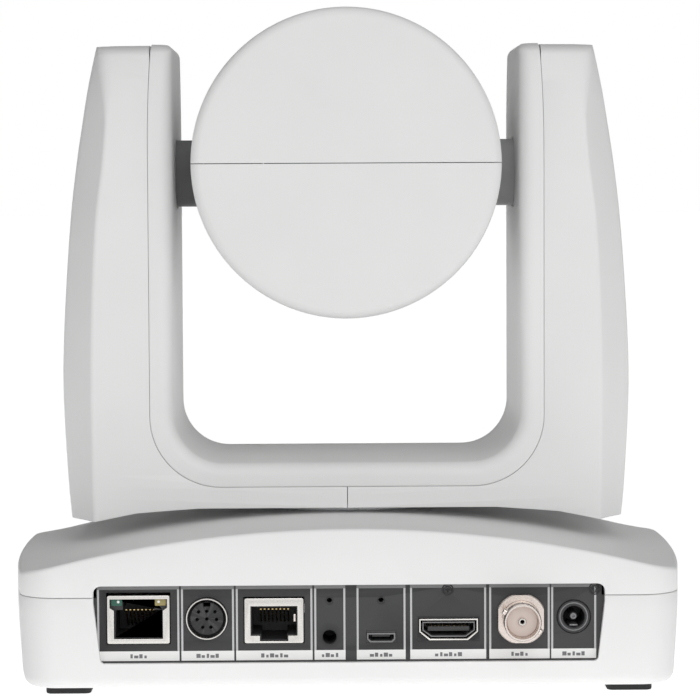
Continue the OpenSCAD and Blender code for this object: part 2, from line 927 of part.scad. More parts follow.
module front_lens() {
    color("lightsteelblue") difference() {
        intersection() {
            ycyl(lens_bore_r, -53, -45, 0, lens_z);
            translate([0, -10, lens_z]) sphere(r = 42, $fn = 96);
        }
        translate([0, -22, lens_z]) sphere(r = 25, $fn = 96);
        for (s = [-1, 1])
            ycyl(rod_r + 0.02, -47.1, 0, s * rod_offset, lens_z);
    }
}

module lens_guide_rods() {
    color(steel_color) for (s = [-1, 1])
        ycyl(rod_r, -47, lens_back - 1.2, s * rod_offset, lens_z);
}

module lens_group(y, t) {
    difference() {
        union() {
            ycyl(lens_bore_r - 0.5, y, y + t, 0, lens_z);
            ycyl(9, y - 1, y + t + 1, 0, lens_z);
        }
        for (s = [-1, 1])
            ycyl(rod_r + 0.04, y - 5, y + t + 5, s * rod_offset, lens_z);
    }
}

module zoom_lens_group() {
    color("lightsteelblue") lens_group(-34, 8);
}

module focus_lens_group() {
    color("lightsteelblue") lens_group(2, 6);
}

module sensor_board() {
    color(board_color) {
        block(-20, 20, lens_back, lens_back + 1.6, 116, 158);
        block(-7, 7, lens_back - 3, lens_back + 0.5, lens_z - 5, lens_z + 5);
        block(-9, 9, lens_back + 1.5, lens_back + 4, 122, 130);
    }
}

module head_chassis() {
    color(steel_color) difference() {
        union() {
            block(-25, 25, -40, lens_back, 109, lens_low);
            for (s = [-1, 1])
                mirror([s < 0 ? 1 : 0, 0, 0]) block(23, 25, -16, 16, 109, 151);
        }
        xcyl(4, -40, 40, 0, tilt_z);
        at_head_screws() zcyl(1.46, 100, 120);
    }
}

module axle(end) {
    difference() {
        union() {
            xcyl(13.5, 25, 27.5, 0, tilt_z);
            xcyl(axle_r, 27, 50.5, 0, tilt_z);
            xcyl(journal_r, 50, 57, 0, tilt_z);
            xcyl(5, 56.5, end, 0, tilt_z);
        }
        xcyl(4, 0, 100, 0, tilt_z);
        for (a = [45:90:315])
            translate([0, 11.3 * cos(a), tilt_z + 11.3 * sin(a)]) xcyl(0.9, 24, 30);
    }
}

module tilt_axle_right() {
    color([0.3, 0.3, 0.32]) axle(68.4);
}

module tilt_axle_left() {
    color([0.3, 0.3, 0.32]) mirror([1, 0, 0]) axle(59);
}

module tilt_pulley() {
    color(black_color) translate([63.4, 0, tilt_z]) rotate([0, 90, 0])
        difference() {
            linear_extrude(5) toothed_disc(tilt_big_r, tilt_big_teeth);
            zcyl(5, -1, 6);
            for (a = [0:60:300])
                rotate(a) zcyl(2.4, -1, 6, 10, 0);
        }
}

base_lower_shell();
base_upper_shell();
rubber_feet();
rear_panel();
network_jack();
control_din_jack();
modular_jack();
audio_jack();
service_micro_jack();
digital_video_jack();
coax_jack();
dc_power_jack();
main_board();
processor_heatsink();
pan_chassis();
pan_bearing_outer();
pan_motor();
pan_belt();
pan_home_sensor();
tripod_insert();
infrared_window();
status_light_pipe();
base_screws();
board_screws();
panel_screws();
pan_motor_pulley();
yoke_chassis();
yoke_inner_cover();
yoke_outer_cover_left();
yoke_outer_cover_right();
pan_hub();
pan_bearing_inner();
pan_bearing_balls();
pan_pulley();
tilt_motor();
tilt_belt();
tilt_bearing_left();
tilt_bearing_right();
yoke_board();
yoke_harness();
yoke_screws();
tilt_motor_pulley();
head_upper_shell();
head_lower_shell();
front_bezel();
front_glass();
lens_body();
front_lens();
lens_guide_rods();
sensor_board();
head_chassis();
tilt_axle_left();
tilt_axle_right();
tilt_pulley();
head_screws();
zoom_lens_group();
focus_lens_group();
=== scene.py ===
import json
import math

import bmesh
import bpy
from mathutils import Matrix, Vector


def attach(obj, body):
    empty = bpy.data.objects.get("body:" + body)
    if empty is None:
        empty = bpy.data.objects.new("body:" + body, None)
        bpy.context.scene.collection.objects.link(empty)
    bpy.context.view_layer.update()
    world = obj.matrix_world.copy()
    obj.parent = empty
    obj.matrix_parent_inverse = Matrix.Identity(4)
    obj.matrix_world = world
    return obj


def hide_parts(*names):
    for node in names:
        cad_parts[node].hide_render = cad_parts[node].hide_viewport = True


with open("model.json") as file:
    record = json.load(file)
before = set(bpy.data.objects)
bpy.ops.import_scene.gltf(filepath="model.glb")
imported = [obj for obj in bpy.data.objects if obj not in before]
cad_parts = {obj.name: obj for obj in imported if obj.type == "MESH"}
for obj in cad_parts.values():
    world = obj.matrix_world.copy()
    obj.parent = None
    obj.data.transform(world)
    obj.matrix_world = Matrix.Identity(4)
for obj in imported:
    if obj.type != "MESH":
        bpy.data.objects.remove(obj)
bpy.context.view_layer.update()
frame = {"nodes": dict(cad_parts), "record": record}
nodes = frame["nodes"]

MM = 0.001

# ---------- sizes, in millimetres, in the frame of the CAD model ----------

BASE_HALF_W, BASE_REAR, BASE_FRONT = 90.1, 64.0, 70.0
BASE_TOP, CROWN_R = 43.7, 315.0
FEET = [(-73, 50), (73, 50), (-61, -50), (61, -50)]
BRACKET_HOLES, BRACKET_HOLE_R = [(-72, -30), (72, -30), (-77, 32), (77, 32)], 3.02
BASE_SCREW_AT, TRIPOD_OPENING_R = 25, 6.03
WINDOW_HALF_W, WINDOW_LOW, WINDOW_HIGH = 16.2, 10, 33.2
STATUS_LIGHT_X, STATUS_LIGHT_Y, STATUS_LIGHT_R = 30, -60, 1.3
VENT_PITCH, VENT_HALF_W = 6, 1
SIDE_ARC_R, SIDE_ARC_Y = 430.0, -8.0
REAR_CORNER_R, FRONT_CORNER_R = 9.0, 45.0
DECK_START, DECK_SLOPE = -28.0, math.tan(math.radians(7.4))
SHELL_BOTTOM, SPLIT = 2.4, 26.1
SHELL_WALL = 2.6
HUB_OPENING_R = 23.5

PANEL_FACE = 61.6
PANEL_LOW, PANEL_HIGH = 9.0, 29.2
PANEL_HALF_W, PANEL_FOOT_HALF_W, PLATE_HALF_W = 65.8, 64.2, 66.9

GAP_HALF, CROSSBAR_TOP, U_CORNER = 46.4, 57.3, 13.2
SEAM_HALF, SEAM_FLOOR, SEAM_CORNER = 52.8, 50.9, 19.0
ARM_TOP, YOKE_HALF_D, COVER_WALL = 169.7, 30.0, 2.3
ROLL_START, ROLL_DEPTH = 140.0, 6.5
DOME_HEIGHT, DOME_DEPTH = 3.0, 8.0
SEAM_LEAN, SEAM_GAP = 0.75, 0.08
BEVEL_Y = 15.0
# height, the yoke's half width at mid depth, and its half width at the rear and front faces
ARM_LEVELS = [(38, 74.9, 67.8), (48, 75.9, 68.2), (67, 77, 68.4), (81, 77.3, 68.4), (100, 76.5, 68),
              (123, 74.8, 66.7), (138, 73, 64.8), (149, 71.3, 64), (157, 70, 64.5), (163, 68.8, 65.4),
              (169.7, 67.3, 66.2)]
# the yoke's underside: distance from the pan axis, height
UNDER_YOKE = [(0, 45.2), (50, 45.2), (64, 44.0), (76.5, 41.2), (90, 37.9)]
HUB_NECK_R = 22.2

DRUM_R, DRUM_Z, TILT_Z = 40.9, 137.4, 134.9
DRUM_BACK, SHELL_FRONT, HEAD_WALL = 44.0, -57.0, 2.4
AXLE_R = 9.15

# ---------- light ----------

# from -Y, +Y, -X and above: axis, where the glow is full, where it ends, strength
SKY_LOBES = [("Y", -0.985, -0.95, 1.0), ("Y", 0.75, 0.2, 1.0), ("X", -0.75, -0.2, 0.22),
             ("Z", 0.97, 0.78, 0.65)]
KEY_POWER = 3.2
# the floor's glow under and ahead of the base, and far behind it; the change starts and ends at these
# distances behind the pan axis, in metres
FLOOR_GLOW, FAR_GLOW = 0.78, 0.3
GLOW_START, GLOW_END = 0.06, 0.4


# ---------- mesh helpers ----------

def link(name, mesh):
    piece = bpy.data.objects.new(name, mesh)
    bpy.context.scene.collection.objects.link(piece)
    return piece


def from_bmesh(name, bm):
    bmesh.ops.recalc_face_normals(bm, faces=bm.faces)
    mesh = bpy.data.meshes.new(name)
    bm.to_mesh(mesh)
    bm.free()
    return link(name, mesh)


def new_bmesh(points_mm, faces):
    bm = bmesh.new()
    verts = [bm.verts.new(Vector(p) * MM) for p in points_mm]
    for face in faces:
        bm.faces.new([verts[i] for i in face])
    return bm


def grid_solid(name, rings, closed_path=False):
    """A closed solid through rings of points; the first and last rings are filled unless the path closes."""
    count, size = len(rings), len(rings[0])
    points = [p for ring in rings for p in ring]
    faces = []
    for i in range(count if closed_path else count - 1):
        a, b = i * size, ((i + 1) % count) * size
        for j in range(size):
            k = (j + 1) % size
            faces.append((a + j, a + k, b + k, b + j))
    if not closed_path:
        faces.append(tuple(range(size))[::-1])
        faces.append(tuple(range((count - 1) * size, count * size)))
    return from_bmesh(name, new_bmesh(points, faces))


def lathe(name, profile, axis="z", center=(0, 0, 0), segments=96):
    """Closed profile of (radius, height) points turned about an axis through center."""
    turn = {"z": lambda r, h, a: (r * math.cos(a), r * math.sin(a), h),
            "y": lambda r, h, a: (r * math.cos(a), h, r * math.sin(a)),
            "x": lambda r, h, a: (h, r * math.cos(a), r * math.sin(a))}[axis]
    bm = bmesh.new()
    rings = []
    for r, h in profile:
        if r < 1e-6:
            rings.append([bm.verts.new((Vector(turn(0, h, 0)) + Vector(center)) * MM)])
        else:
            rings.append([bm.verts.new((Vector(turn(r, h, 2 * math.pi * k / segments)) + Vector(center)) * MM)
                          for k in range(segments)])
    for a, b in zip(rings, rings[1:] + rings[:1]):
        for k in range(segments):
            m = (k + 1) % segments
            corners = [a[k % len(a)], a[m % len(a)], b[m % len(b)], b[k % len(b)]]
            unique = list(dict.fromkeys(corners))
            if len(unique) > 2:
                bm.faces.new(unique)
    return from_bmesh(name, bm)


def arc(cx, cy, r, start, end, steps):
    """Points on an arc, angles in degrees."""
    return [(cx + r * math.cos(math.radians(start + (end - start) * k / steps)),
             cy + r * math.sin(math.radians(start + (end - start) * k / steps))) for k in range(steps + 1)]


def block(name, x1, x2, y1, y2, z1, z2, round_r=0.0):
    bm = bmesh.new()
    bmesh.ops.create_cube(bm, size=1)
    for v in bm.verts:
        v.co = Vector((x1 if v.co.x < 0 else x2, y1 if v.co.y < 0 else y2, z1 if v.co.z < 0 else z2)) * MM
    if round_r:
        bmesh.ops.bevel(bm, geom=bm.edges, offset=round_r * MM, segments=3, affect="EDGES", profile=0.5)
    return from_bmesh(name, bm)


def prism(name, outline, y1, y2):
    """Outline of (x, z) points, extruded along Y."""
    return grid_solid(name, [[(x, y, z) for x, z in outline] for y in (y1, y2)])


def rounded_rect(x1, x2, z1, z2, r, steps=6):
    return (arc(x2 - r, z1 + r, r, -90, 0, steps) + arc(x2 - r, z2 - r, r, 0, 90, steps)
            + arc(x1 + r, z2 - r, r, 90, 180, steps) + arc(x1 + r, z1 + r, r, 180, 270, steps))


def apply_modifiers(piece):
    graph = bpy.context.evaluated_depsgraph_get()
    mesh = bpy.data.meshes.new_from_object(piece.evaluated_get(graph))
    piece.modifiers.clear()
    old = piece.data
    piece.data = mesh
    bpy.data.meshes.remove(old)


def cut(piece, *tools):
    """Take each tool out of the piece and delete the tool."""
    for tool in tools:
        change = piece.modifiers.new("cut", "BOOLEAN")
        change.operation, change.solver, change.object = "DIFFERENCE", "EXACT", tool
        apply_modifiers(piece)
        bpy.data.objects.remove(tool)
    return piece


def round_edges(piece, wanted, width, segments=2):
    """Round the sharp edges for which wanted(middle in mm) holds."""
    bm = bmesh.new()
    bm.from_mesh(piece.data)
    edges = [e for e in bm.edges
             if len(e.link_faces) == 2 and e.calc_face_angle(0) > math.radians(30)
             and wanted((e.verts[0].co + e.verts[1].co) / (2 * MM))]
    bmesh.ops.bevel(bm, geom=edges, offset=width * MM, segments=segments, affect="EDGES", profile=0.5,
                    clamp_overlap=True)
    bm.to_mesh(piece.data)
    bm.free()
    return piece


def joined(name, pieces):
    bm = bmesh.new()
    for p in pieces:
        bm.from_mesh(p.data)
        bpy.data.objects.remove(p)
    return from_bmesh(name, bm)


def smooth(piece, angle):
    piece.data.shade_smooth()
    piece.data.set_sharp_from_angle(angle=math.radians(angle))


def finish_piece(piece, body, material, stands_for=(), angle=32):
    smooth(piece, angle)
    piece.data.materials.clear()
    piece.data.materials.append(material)
    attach(piece, body)
    if stands_for:
        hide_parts(*stands_for)
    return piece


# ---------- materials ----------

def surface(name, color, rough, metallic=0.0, mottle=0.03, grain=900.0, bump=0.02, wear=0.0, wear_color=None,
            rough_spread=0.06, specular=0.5, coat=0.0, stretch=(1, 1, 1), **constants):
    """One family of finishes: cloudy colour change, uneven roughness, fine bump and worn edges."""
    mat = bpy.data.materials.new(name)
    mat.use_nodes = True
    tree = mat.node_tree
    shader = tree.nodes["Principled BSDF"]
    place = tree.nodes.new("ShaderNodeTexCoord")
    scale = tree.nodes.new("ShaderNodeMapping")
    scale.inputs["Scale"].default_value = stretch
    tree.links.new(place.outputs["Object"], scale.inputs["Vector"])

    def noise(size, detail):
        node = tree.nodes.new("ShaderNodeTexNoise")
        node.inputs["Scale"].default_value = size
        node.inputs["Detail"].default_value = detail
        tree.links.new(scale.outputs["Vector"], node.inputs["Vector"])
        return node

    def ramp(source, low, high, a=0.3, b=0.7):
        node = tree.nodes.new("ShaderNodeMapRange")
        node.inputs["From Min"].default_value, node.inputs["From Max"].default_value = a, b
        node.inputs["To Min"].default_value, node.inputs["To Max"].default_value = low, high
        tree.links.new(source, node.inputs["Value"])
        return node.outputs["Result"]

    def mix(factor, first, second):
        node = tree.nodes.new("ShaderNodeMix")
        node.data_type = "RGBA"
        tree.links.new(factor, node.inputs["Factor"])
        for value, socket in ((first, node.inputs["A"]), (second, node.inputs["B"])):
            if hasattr(value, "is_linked"):
                tree.links.new(value, socket)
            else:
                socket.default_value = (*value, 1)
        return node.outputs["Result"]

    cloud = noise(45, 3)
    dark = tuple(c * (1 - mottle) for c in color)
    light = tuple(min(1, c * (1 + mottle)) for c in color)
    tint = mix(ramp(cloud.outputs["Fac"], 0, 1), dark, light)
    fine = noise(grain, 4)
    if wear:
        shape = tree.nodes.new("ShaderNodeNewGeometry")
        edge = ramp(shape.outputs["Pointiness"], 0, wear, 0.53, 0.62)
        tint = mix(edge, tint, wear_color or light)
    tree.links.new(tint, shader.inputs["Base Color"])
    uneven = ramp(fine.outputs["Fac"], rough - rough_spread, rough + rough_spread)
    tree.links.new(uneven, shader.inputs["Roughness"])
    if bump:
        relief = tree.nodes.new("ShaderNodeBump")
        relief.inputs["Strength"].default_value = 0.35
        relief.inputs["Distance"].default_value = bump * MM
        tree.links.new(fine.outputs["Fac"], relief.inputs["Height"])
        tree.links.new(relief.outputs["Normal"], shader.inputs["Normal"])
    shader.inputs["Metallic"].default_value = metallic
    shader.inputs["Specular IOR Level"].default_value = specular
    shader.inputs["Coat Weight"].default_value = coat
    for key, value in constants.items():
        shader.inputs[key.replace("_", " ").title().replace("Ior", "IOR")].default_value = value
    mat.diffuse_color = (*color, 1)
    return mat


SHELL = surface("white_shell_plastic", (0.79, 0.79, 0.787), 0.46, mottle=0.012, grain=2600, bump=0.02,
                wear=0.35, wear_color=(0.86, 0.86, 0.857), specular=0.35)
RUBBER = surface("foot_rubber", (0.018, 0.018, 0.019), 0.72, mottle=0.12, grain=1800, bump=0.04, wear=0.5,
                 wear_color=(0.05, 0.05, 0.05), specular=0.3)
PANEL = surface("panel_paint", (0.032, 0.032, 0.034), 0.68, mottle=0.08, grain=3200, bump=0.05, wear=0.4,
                wear_color=(0.12, 0.12, 0.12), specular=0.15)
# printed ink darkened with painted shadow, for the frames' top bars under the top wall of the panel opening
INK_WITH_PAINTED_SHADOW = surface("ink_with_painted_shadow", (0.2, 0.2, 0.203), 0.6, mottle=0.05, grain=2400, bump=0.01)
INK = surface("printed_ink", (0.5, 0.5, 0.505), 0.6, mottle=0.04, grain=2400, bump=0.01)
LABEL = surface("label_ink", (0.8, 0.8, 0.79), 0.58, mottle=0.02, grain=2400, bump=0.01)
NICKEL = surface("nickel_plate", (0.74, 0.72, 0.69), 0.27, metallic=1, mottle=0.05, grain=2200, bump=0.015,
                 wear=0.4, wear_color=(0.86, 0.84, 0.8))
BLACK = surface("black_plastic_moulding", (0.022, 0.022, 0.024), 0.45, mottle=0.15, grain=2400, bump=0.03,
                wear=0.4, wear_color=(0.06, 0.06, 0.062))
GOLD = surface("contact_gold", (0.83, 0.62, 0.28), 0.25, metallic=1, mottle=0.06, grain=3000, bump=0.01)
BOARD = surface("board_mask", (0.012, 0.1, 0.05), 0.35, mottle=0.18, grain=700, bump=0.03, coat=0.3)
DARK_ALU = surface("black_anodised", (0.03, 0.03, 0.034), 0.38, metallic=0.85, mottle=0.1, grain=2000,
                   bump=0.02, wear=0.5, wear_color=(0.2, 0.2, 0.2))
SHEET = surface("zinc_sheet", (0.56, 0.57, 0.58), 0.38, metallic=1, mottle=0.1, grain=500, bump=0.03,
                wear=0.5, wear_color=(0.72, 0.72, 0.72))
STEEL = surface("ground_steel", (0.62, 0.62, 0.63), 0.24, metallic=1, mottle=0.05, grain=1500, bump=0.015,
                wear=0.4, wear_color=(0.8, 0.8, 0.8))
MOTOR = surface("motor_can", (0.45, 0.45, 0.46), 0.36, metallic=1, mottle=0.08, grain=900, bump=0.03,
                stretch=(1, 1, 0.1))
BELT = surface("belt_rubber", (0.015, 0.015, 0.015), 0.66, mottle=0.1, grain=1600, bump=0.05)
BRASS = surface("turned_brass", (0.7, 0.5, 0.22), 0.3, metallic=1, mottle=0.08, grain=1400, bump=0.02,
                wear=0.4, wear_color=(0.85, 0.68, 0.38))
WINDOW = surface("infrared_plastic", (0.035, 0.004, 0.009), 0.08, mottle=0.1, grain=300, bump=0.0, coat=0.6,
                 rough_spread=0.02)
PIPE = surface("light_pipe_plastic", (0.68, 0.8, 0.84), 0.12, mottle=0.03, grain=300, bump=0.0,
               rough_spread=0.03, transmission_weight=0.6)
BLACK_STEEL = surface("black_steel", (0.03, 0.03, 0.032), 0.34, metallic=0.6, mottle=0.1, grain=2200,
                      bump=0.02, wear=0.7, wear_color=(0.3, 0.3, 0.3))
ALU = surface("turned_aluminium", (0.66, 0.67, 0.68), 0.3, metallic=1, mottle=0.05, grain=900, bump=0.03,
              stretch=(1, 1, 8))
SLEEVE = surface("cable_sleeve", (0.02, 0.02, 0.021), 0.5, mottle=0.12, grain=900, bump=0.06)
GLOSS = surface("gloss_black_trim", (0.012, 0.012, 0.014), 0.07, mottle=0.06, grain=400, bump=0.0, coat=0.8,
                rough_spread=0.025)
GLASS = surface("coated_front_glass", (0.82, 0.87, 0.88), 0.03, mottle=0.02, grain=200, bump=0.0,
                rough_spread=0.015, transmission_weight=0.96, ior=1.5)
LENS = surface("coated_lens_glass", (0.5, 0.55, 0.82), 0.03, mottle=0.04, grain=200, bump=0.0,
               rough_spread=0.015, transmission_weight=0.75, ior=1.6)
AXLE = surface("axle_paint", (0.4, 0.4, 0.403), 0.5, mottle=0.06, grain=1800, bump=0.04, wear=0.4,
               wear_color=(0.2, 0.2, 0.2), specular=0.3)
# a darker copy of the axle paint: painted shade for the axle in the narrow gap between the head and the arm
AXLE_PAINTED_SHADE = surface("axle_paint_painted_shade", (0.18, 0.18, 0.182), 0.55, mottle=0.08, grain=1800, bump=0.04,
                    wear=0.4, wear_color=(0.1, 0.1, 0.1), specular=0.2)
WARM_NICKEL = surface("warm_nickel", (0.8, 0.72, 0.67), 0.28, metallic=1, mottle=0.05, grain=2200,
                      bump=0.015, wear=0.4, wear_color=(0.9, 0.84, 0.8))
CREAM = surface("coax_insulator", (0.66, 0.56, 0.51), 0.5, mottle=0.04, grain=1200, bump=0.02)
MARK = surface("mark_ink", (0.16, 0.16, 0.165), 0.6, mottle=0.1, grain=2400, bump=0.01)
COPPER = surface("copper_pad", (0.26, 0.09, 0.08), 0.35, metallic=0.5, mottle=0.1, grain=2400, bump=0.01)
# nickel darkened to painted shade, for metal set back inside the panel's openings: the video liner, the
# service jack shell, the power jack ring and contacts
NICKEL_PAINTED_SHADE = surface("nickel_painted_shade", (0.2, 0.2, 0.205), 0.4, metallic=0.7, mottle=0.06, grain=2400, bump=0.015,
              wear=0.4, wear_color=(0.4, 0.4, 0.4))
GREEN = surface("green_lamp", (0.02, 0.1, 0.07), 0.25, mottle=0.1, grain=500, bump=0.0)
AMBER = surface("amber_lamp", (0.3, 0.25, 0.1), 0.25, mottle=0.1, grain=500, bump=0.0)

BY_SLOT = {
    "white_shell": SHELL, "rubber": RUBBER, "dark_panel": PANEL, "nickel": NICKEL, "black_plastic": BLACK,
    "circuit_board": BOARD, "black_aluminium": DARK_ALU, "sheet_steel": SHEET, "bearing_steel": STEEL,
    "motor_steel": MOTOR, "belt_rubber": BELT, "brass": BRASS, "window_plastic": WINDOW, "light_pipe": PIPE,
    "black_steel": BLACK_STEEL, "turned_aluminium": ALU, "cable_jacket": SLEEVE, "gloss_black": GLOSS,
    "front_glass": GLASS, "lens_glass": LENS, "axle_grey": AXLE}


# ---------- base ----------

def side_half_w(y, inset):
    return BASE_HALF_W - inset - (y - SIDE_ARC_Y) ** 2 / (2 * SIDE_ARC_R)


def plan_side(inset):
    """One side of the base, from the middle of the front to the middle of the rear."""
    points = []
    r = FRONT_CORNER_R - inset
    for k in range(31):
        a = math.radians(90 - 3 * k)
        y = -BASE_FRONT + inset + r * (1 - math.sin(a))
        points.append((side_half_w(y, inset) - r * (1 - math.cos(a)), y))
    y0, y1 = -BASE_FRONT + FRONT_CORNER_R, BASE_REAR - REAR_CORNER_R
    points += [(side_half_w(y0 + (y1 - y0) * k / 14, inset), y0 + (y1 - y0) * k / 14) for k in range(1, 14)]
    r = max(REAR_CORNER_R - inset, 1)
    for k in range(19):
        a = math.radians(5 * k)
        y = BASE_REAR - inset - r * (1 - math.sin(a))
        points.append((side_half_w(y, inset) - r * (1 - math.cos(a)), y))
    front, rear = points[0], points[-1]
    points = [(front[0] * k / 8, front[1]) for k in range(8)] + points
    return points + [(rear[0] * (1 - k / 16), rear[1]) for k in range(1, 16)]


def plan(inset):
    side = plan_side(inset)
    return side + [(0, BASE_REAR - inset)] + [(-x, y) for x, y in side[:0:-1]]


def crown_z(x, y):
    """Top of the base: a cylinder along Y, lifted a little at the far sides, that slopes down in front."""
    ahead = DECK_START - y
    blend = 3.0
    drop = DECK_SLOPE * blend * math.log1p(math.exp(min(ahead / blend, 30)))
    lift = 0.006 * max(abs(x) - 76, 0) ** 2
    return BASE_TOP - CROWN_R + math.sqrt(CROWN_R ** 2 - x * x) - drop + lift


def edge_radius(x, y):
    """Radius of the top edge, smaller at the rear than round the sides and the front."""
    t = min(max((abs(x) - 74) / 12, 0), 1)
    if y < 0:
        t = 1
    return 0.9 + 0.3 * t * t * (3 - 2 * t)


def pad(name, x, y, half, profile):
    """A block with a rounded square outline round (x, y), through (inset, z) levels."""
    return grid_solid(name, [[(px, py, z) for px, py in
                              rounded_rect(x - half + i, x + half - i, y - half + i, y + half - i, 1.6 - i)]
                             for i, z in profile])


def base_lower():
    profile = [(3.5 - 2.6 * math.sin(math.radians(t)), SHELL_BOTTOM + 3.0 * (1 - math.cos(math.radians(t))))
               for t in range(0, 91, 10)]
    profile += [(0.72, 8.5), (0.45, 13), (0.2, 18), (0.05, 22), (0, SPLIT - 0.35), (0.1, SPLIT - 0.1),
                (0.3, SPLIT - 0.02)]
    outer = [[(x, y, z) for x, y in plan(inset)] for inset, z in profile]
    inner = [[(x, y, z) for x, y in plan(inset)]
             for inset, z in ((3.2, SPLIT - 0.02), (3.2, 12), (4, 7), (5.5, 6))]
    shell = grid_solid("base_lower_casing", outer + inner)
    low, high = PANEL_FOOT_HALF_W, PANEL_HALF_W
    opening = [(-high, SPLIT + 2), (-high, SPLIT - 1.5)] + arc(-low + 1.2, PANEL_LOW + 1.2, 1.2, 180, 270, 6)
    opening += arc(low - 1.2, PANEL_LOW + 1.2, 1.2, 270, 360, 6) + [(high, SPLIT - 1.5), (high, SPLIT + 2)]
    cut(shell, prism("tool", opening, BASE_REAR - 12, BASE_REAR + 2),
        block("tool", -PLATE_HALF_W, PLATE_HALF_W, PANEL_FACE - 1.7, PANEL_FACE + 0.1, PANEL_LOW - 1.6,
              SPLIT + 2),
        block("tool", -WINDOW_HALF_W, WINDOW_HALF_W, -BASE_FRONT - 2, -BASE_FRONT + 8, 15, 40))
    for x, y in FEET:
        cut(shell, pad("tool", x, y, 6.05, [(0, 0), (0, 3.35)]))
    for x, y in BRACKET_HOLES:
        cut(shell, lathe("tool", [(0, 0), (BRACKET_HOLE_R, 0), (BRACKET_HOLE_R, 8), (0, 8)], center=(x, y, 0),
                         segments=48))
    for x in (-BASE_SCREW_AT, BASE_SCREW_AT):
        for y in (-BASE_SCREW_AT, BASE_SCREW_AT):
            cut(shell, lathe("tool", [(0, 0), (1.7, 0), (1.25, 0.45), (1.25, 8), (0, 8)],
                             center=(x, y, SHELL_BOTTOM - 0.1), segments=48))
    cut(shell, lathe("tool", [(0, 0), (TRIPOD_OPENING_R, 0), (TRIPOD_OPENING_R, 9), (0, 9)]))
    for i in range(-4, 5):
        vent = rounded_rect(i * VENT_PITCH - VENT_HALF_W, i * VENT_PITCH + VENT_HALF_W, 0, 8, 0.9, 3)
        cut(shell, prism("tool", vent, -60, -42))
    round_edges(shell, lambda m: m.y > BASE_REAR - 0.5 and abs(m.x) < 67 and m.z > PANEL_LOW - 0.3
                and m.z < SPLIT - 0.2, 0.3, 2)
    return shell


def base_upper():
    rim = plan(0)
    steps = 6
    bottom = SPLIT + 0.12
    rings = [[(x, y, bottom) for x, y in plan(0.35)], [(x, y, bottom + 0.1) for x, y in plan(0.12)],
             [(x, y, bottom + 0.35) for x, y in rim]]
    for k in range(steps + 1):
        a = math.radians(90 * k / steps)
        ring = []
        for (x0, y0), (x9, y9) in zip(rim, plan(1.0)):
            r = edge_radius(x0, y0)
            move = r * (1 - math.cos(a))
            x, y = x0 + (x9 - x0) * move, y0 + (y9 - y0) * move
            ring.append((x, y, crown_z(x, y) - r * (1 - math.sin(a))))
        rings.append(ring)
    last = rings[-1]
    for k in range(1, 25):
        t = k / 24
        ring = []
        for x0, y0, _ in last:
            bearing = math.atan2(y0, x0)
            x1, y1 = HUB_OPENING_R * math.cos(bearing), HUB_OPENING_R * math.sin(bearing)
            x, y = x0 + (x1 - x0) * t, y0 + (y1 - y0) * t
            ring.append((x, y, crown_z(x, y)))
        rings.append(ring)
    under = []
    for ring in (rings[-1], rings[-7], rings[-13], rings[-19]):
        under.append([(x, y, z - SHELL_WALL) for x, y, z in ring])
    under.append([(x, y, crown_z(x, y) - SHELL_WALL - 0.6) for x, y in plan(3.2)])
    under.append([(x, y, bottom) for x, y in plan(2.6)])
    shell = grid_solid("base_upper_casing", rings + under, closed_path=True)
    top = rounded_rect(-PANEL_HALF_W, PANEL_HALF_W, SPLIT - 6, PANEL_HIGH, 2.0)
    window = rounded_rect(-WINDOW_HALF_W, WINDOW_HALF_W, WINDOW_LOW, WINDOW_HIGH, 2.2)
    cut(shell, prism("tool", top, BASE_REAR - 12, BASE_REAR + 2),
        prism("tool", window, -BASE_FRONT - 2, -BASE_FRONT + 8),
        lathe("tool", [(0, 30), (STATUS_LIGHT_R, 30), (STATUS_LIGHT_R, 50), (0, 50)],
              center=(STATUS_LIGHT_X, STATUS_LIGHT_Y, 0), segments=40))
    round_edges(shell, lambda m: m.y > BASE_REAR - 0.5 and abs(m.x) < 66 and m.z < PANEL_HIGH + 0.3
                and m.z > SPLIT + 0.5, 0.3, 2)
    return shell


finish_piece(base_lower(), "base", SHELL, ["base_lower_shell"])
finish_piece(base_upper(), "base", SHELL, ["base_upper_shell"])
feet = [pad("foot", x, y, 5.9, [(0.5, 0), (0.15, 0.12), (0, 0.45), (0, 3.3)]) for x, y in FEET]
finish_piece(joined("rubber_foot_pads", feet), "base", RUBBER, ["rubber_feet"])


# ---------- yoke ----------

def at_height(z, column):
    """Smooth value of an arm's level table at a height."""
    table = ARM_LEVELS
    if z <= table[0][0]:
        return table[0][column]
    for i in range(len(table) - 1):
        if z <= table[i + 1][0]:
            break
    z1, z2 = table[i][0], table[i + 1][0]
    v1, v2 = table[i][column], table[i + 1][column]
    before, after = table[max(i - 1, 0)], table[min(i + 2, len(table) - 1)]
    m1 = (v2 - before[column]) / (z2 - before[0])
    m2 = (after[column] - v1) / (after[0] - z1)
    t, h = (z - z1) / (z2 - z1), z2 - z1
    return ((2 * t ** 3 - 3 * t * t + 1) * v1 + (t ** 3 - 2 * t * t + t) * h * m1
            + (3 * t * t - 2 * t ** 3) * v2 + (t ** 3 - t * t) * h * m2)


def half_depth(z):
    """The arms' rear and front faces roll over near the top."""
    t = max(z - ROLL_START, 0) / (ARM_TOP - ROLL_START)
    return YOKE_HALF_D - ROLL_DEPTH * t ** 2.3


def soft_corner(a, b, c, reach, steps=4):
    """Points round corner b of a, b, c, starting and ending at most reach away from it."""
    ab, cb = (Vector(a) - Vector(b)), (Vector(c) - Vector(b))
    p = Vector(b) + ab.normalized() * min(reach, ab.length * 0.45)
    q = Vector(b) + cb.normalized() * min(reach, cb.length * 0.45)
    out = []
    for k in range(steps + 1):
        t = k / steps
        out.append(tuple((1 - t) ** 2 * p + 2 * t * (1 - t) * Vector(b) + t * t * q))
    return out


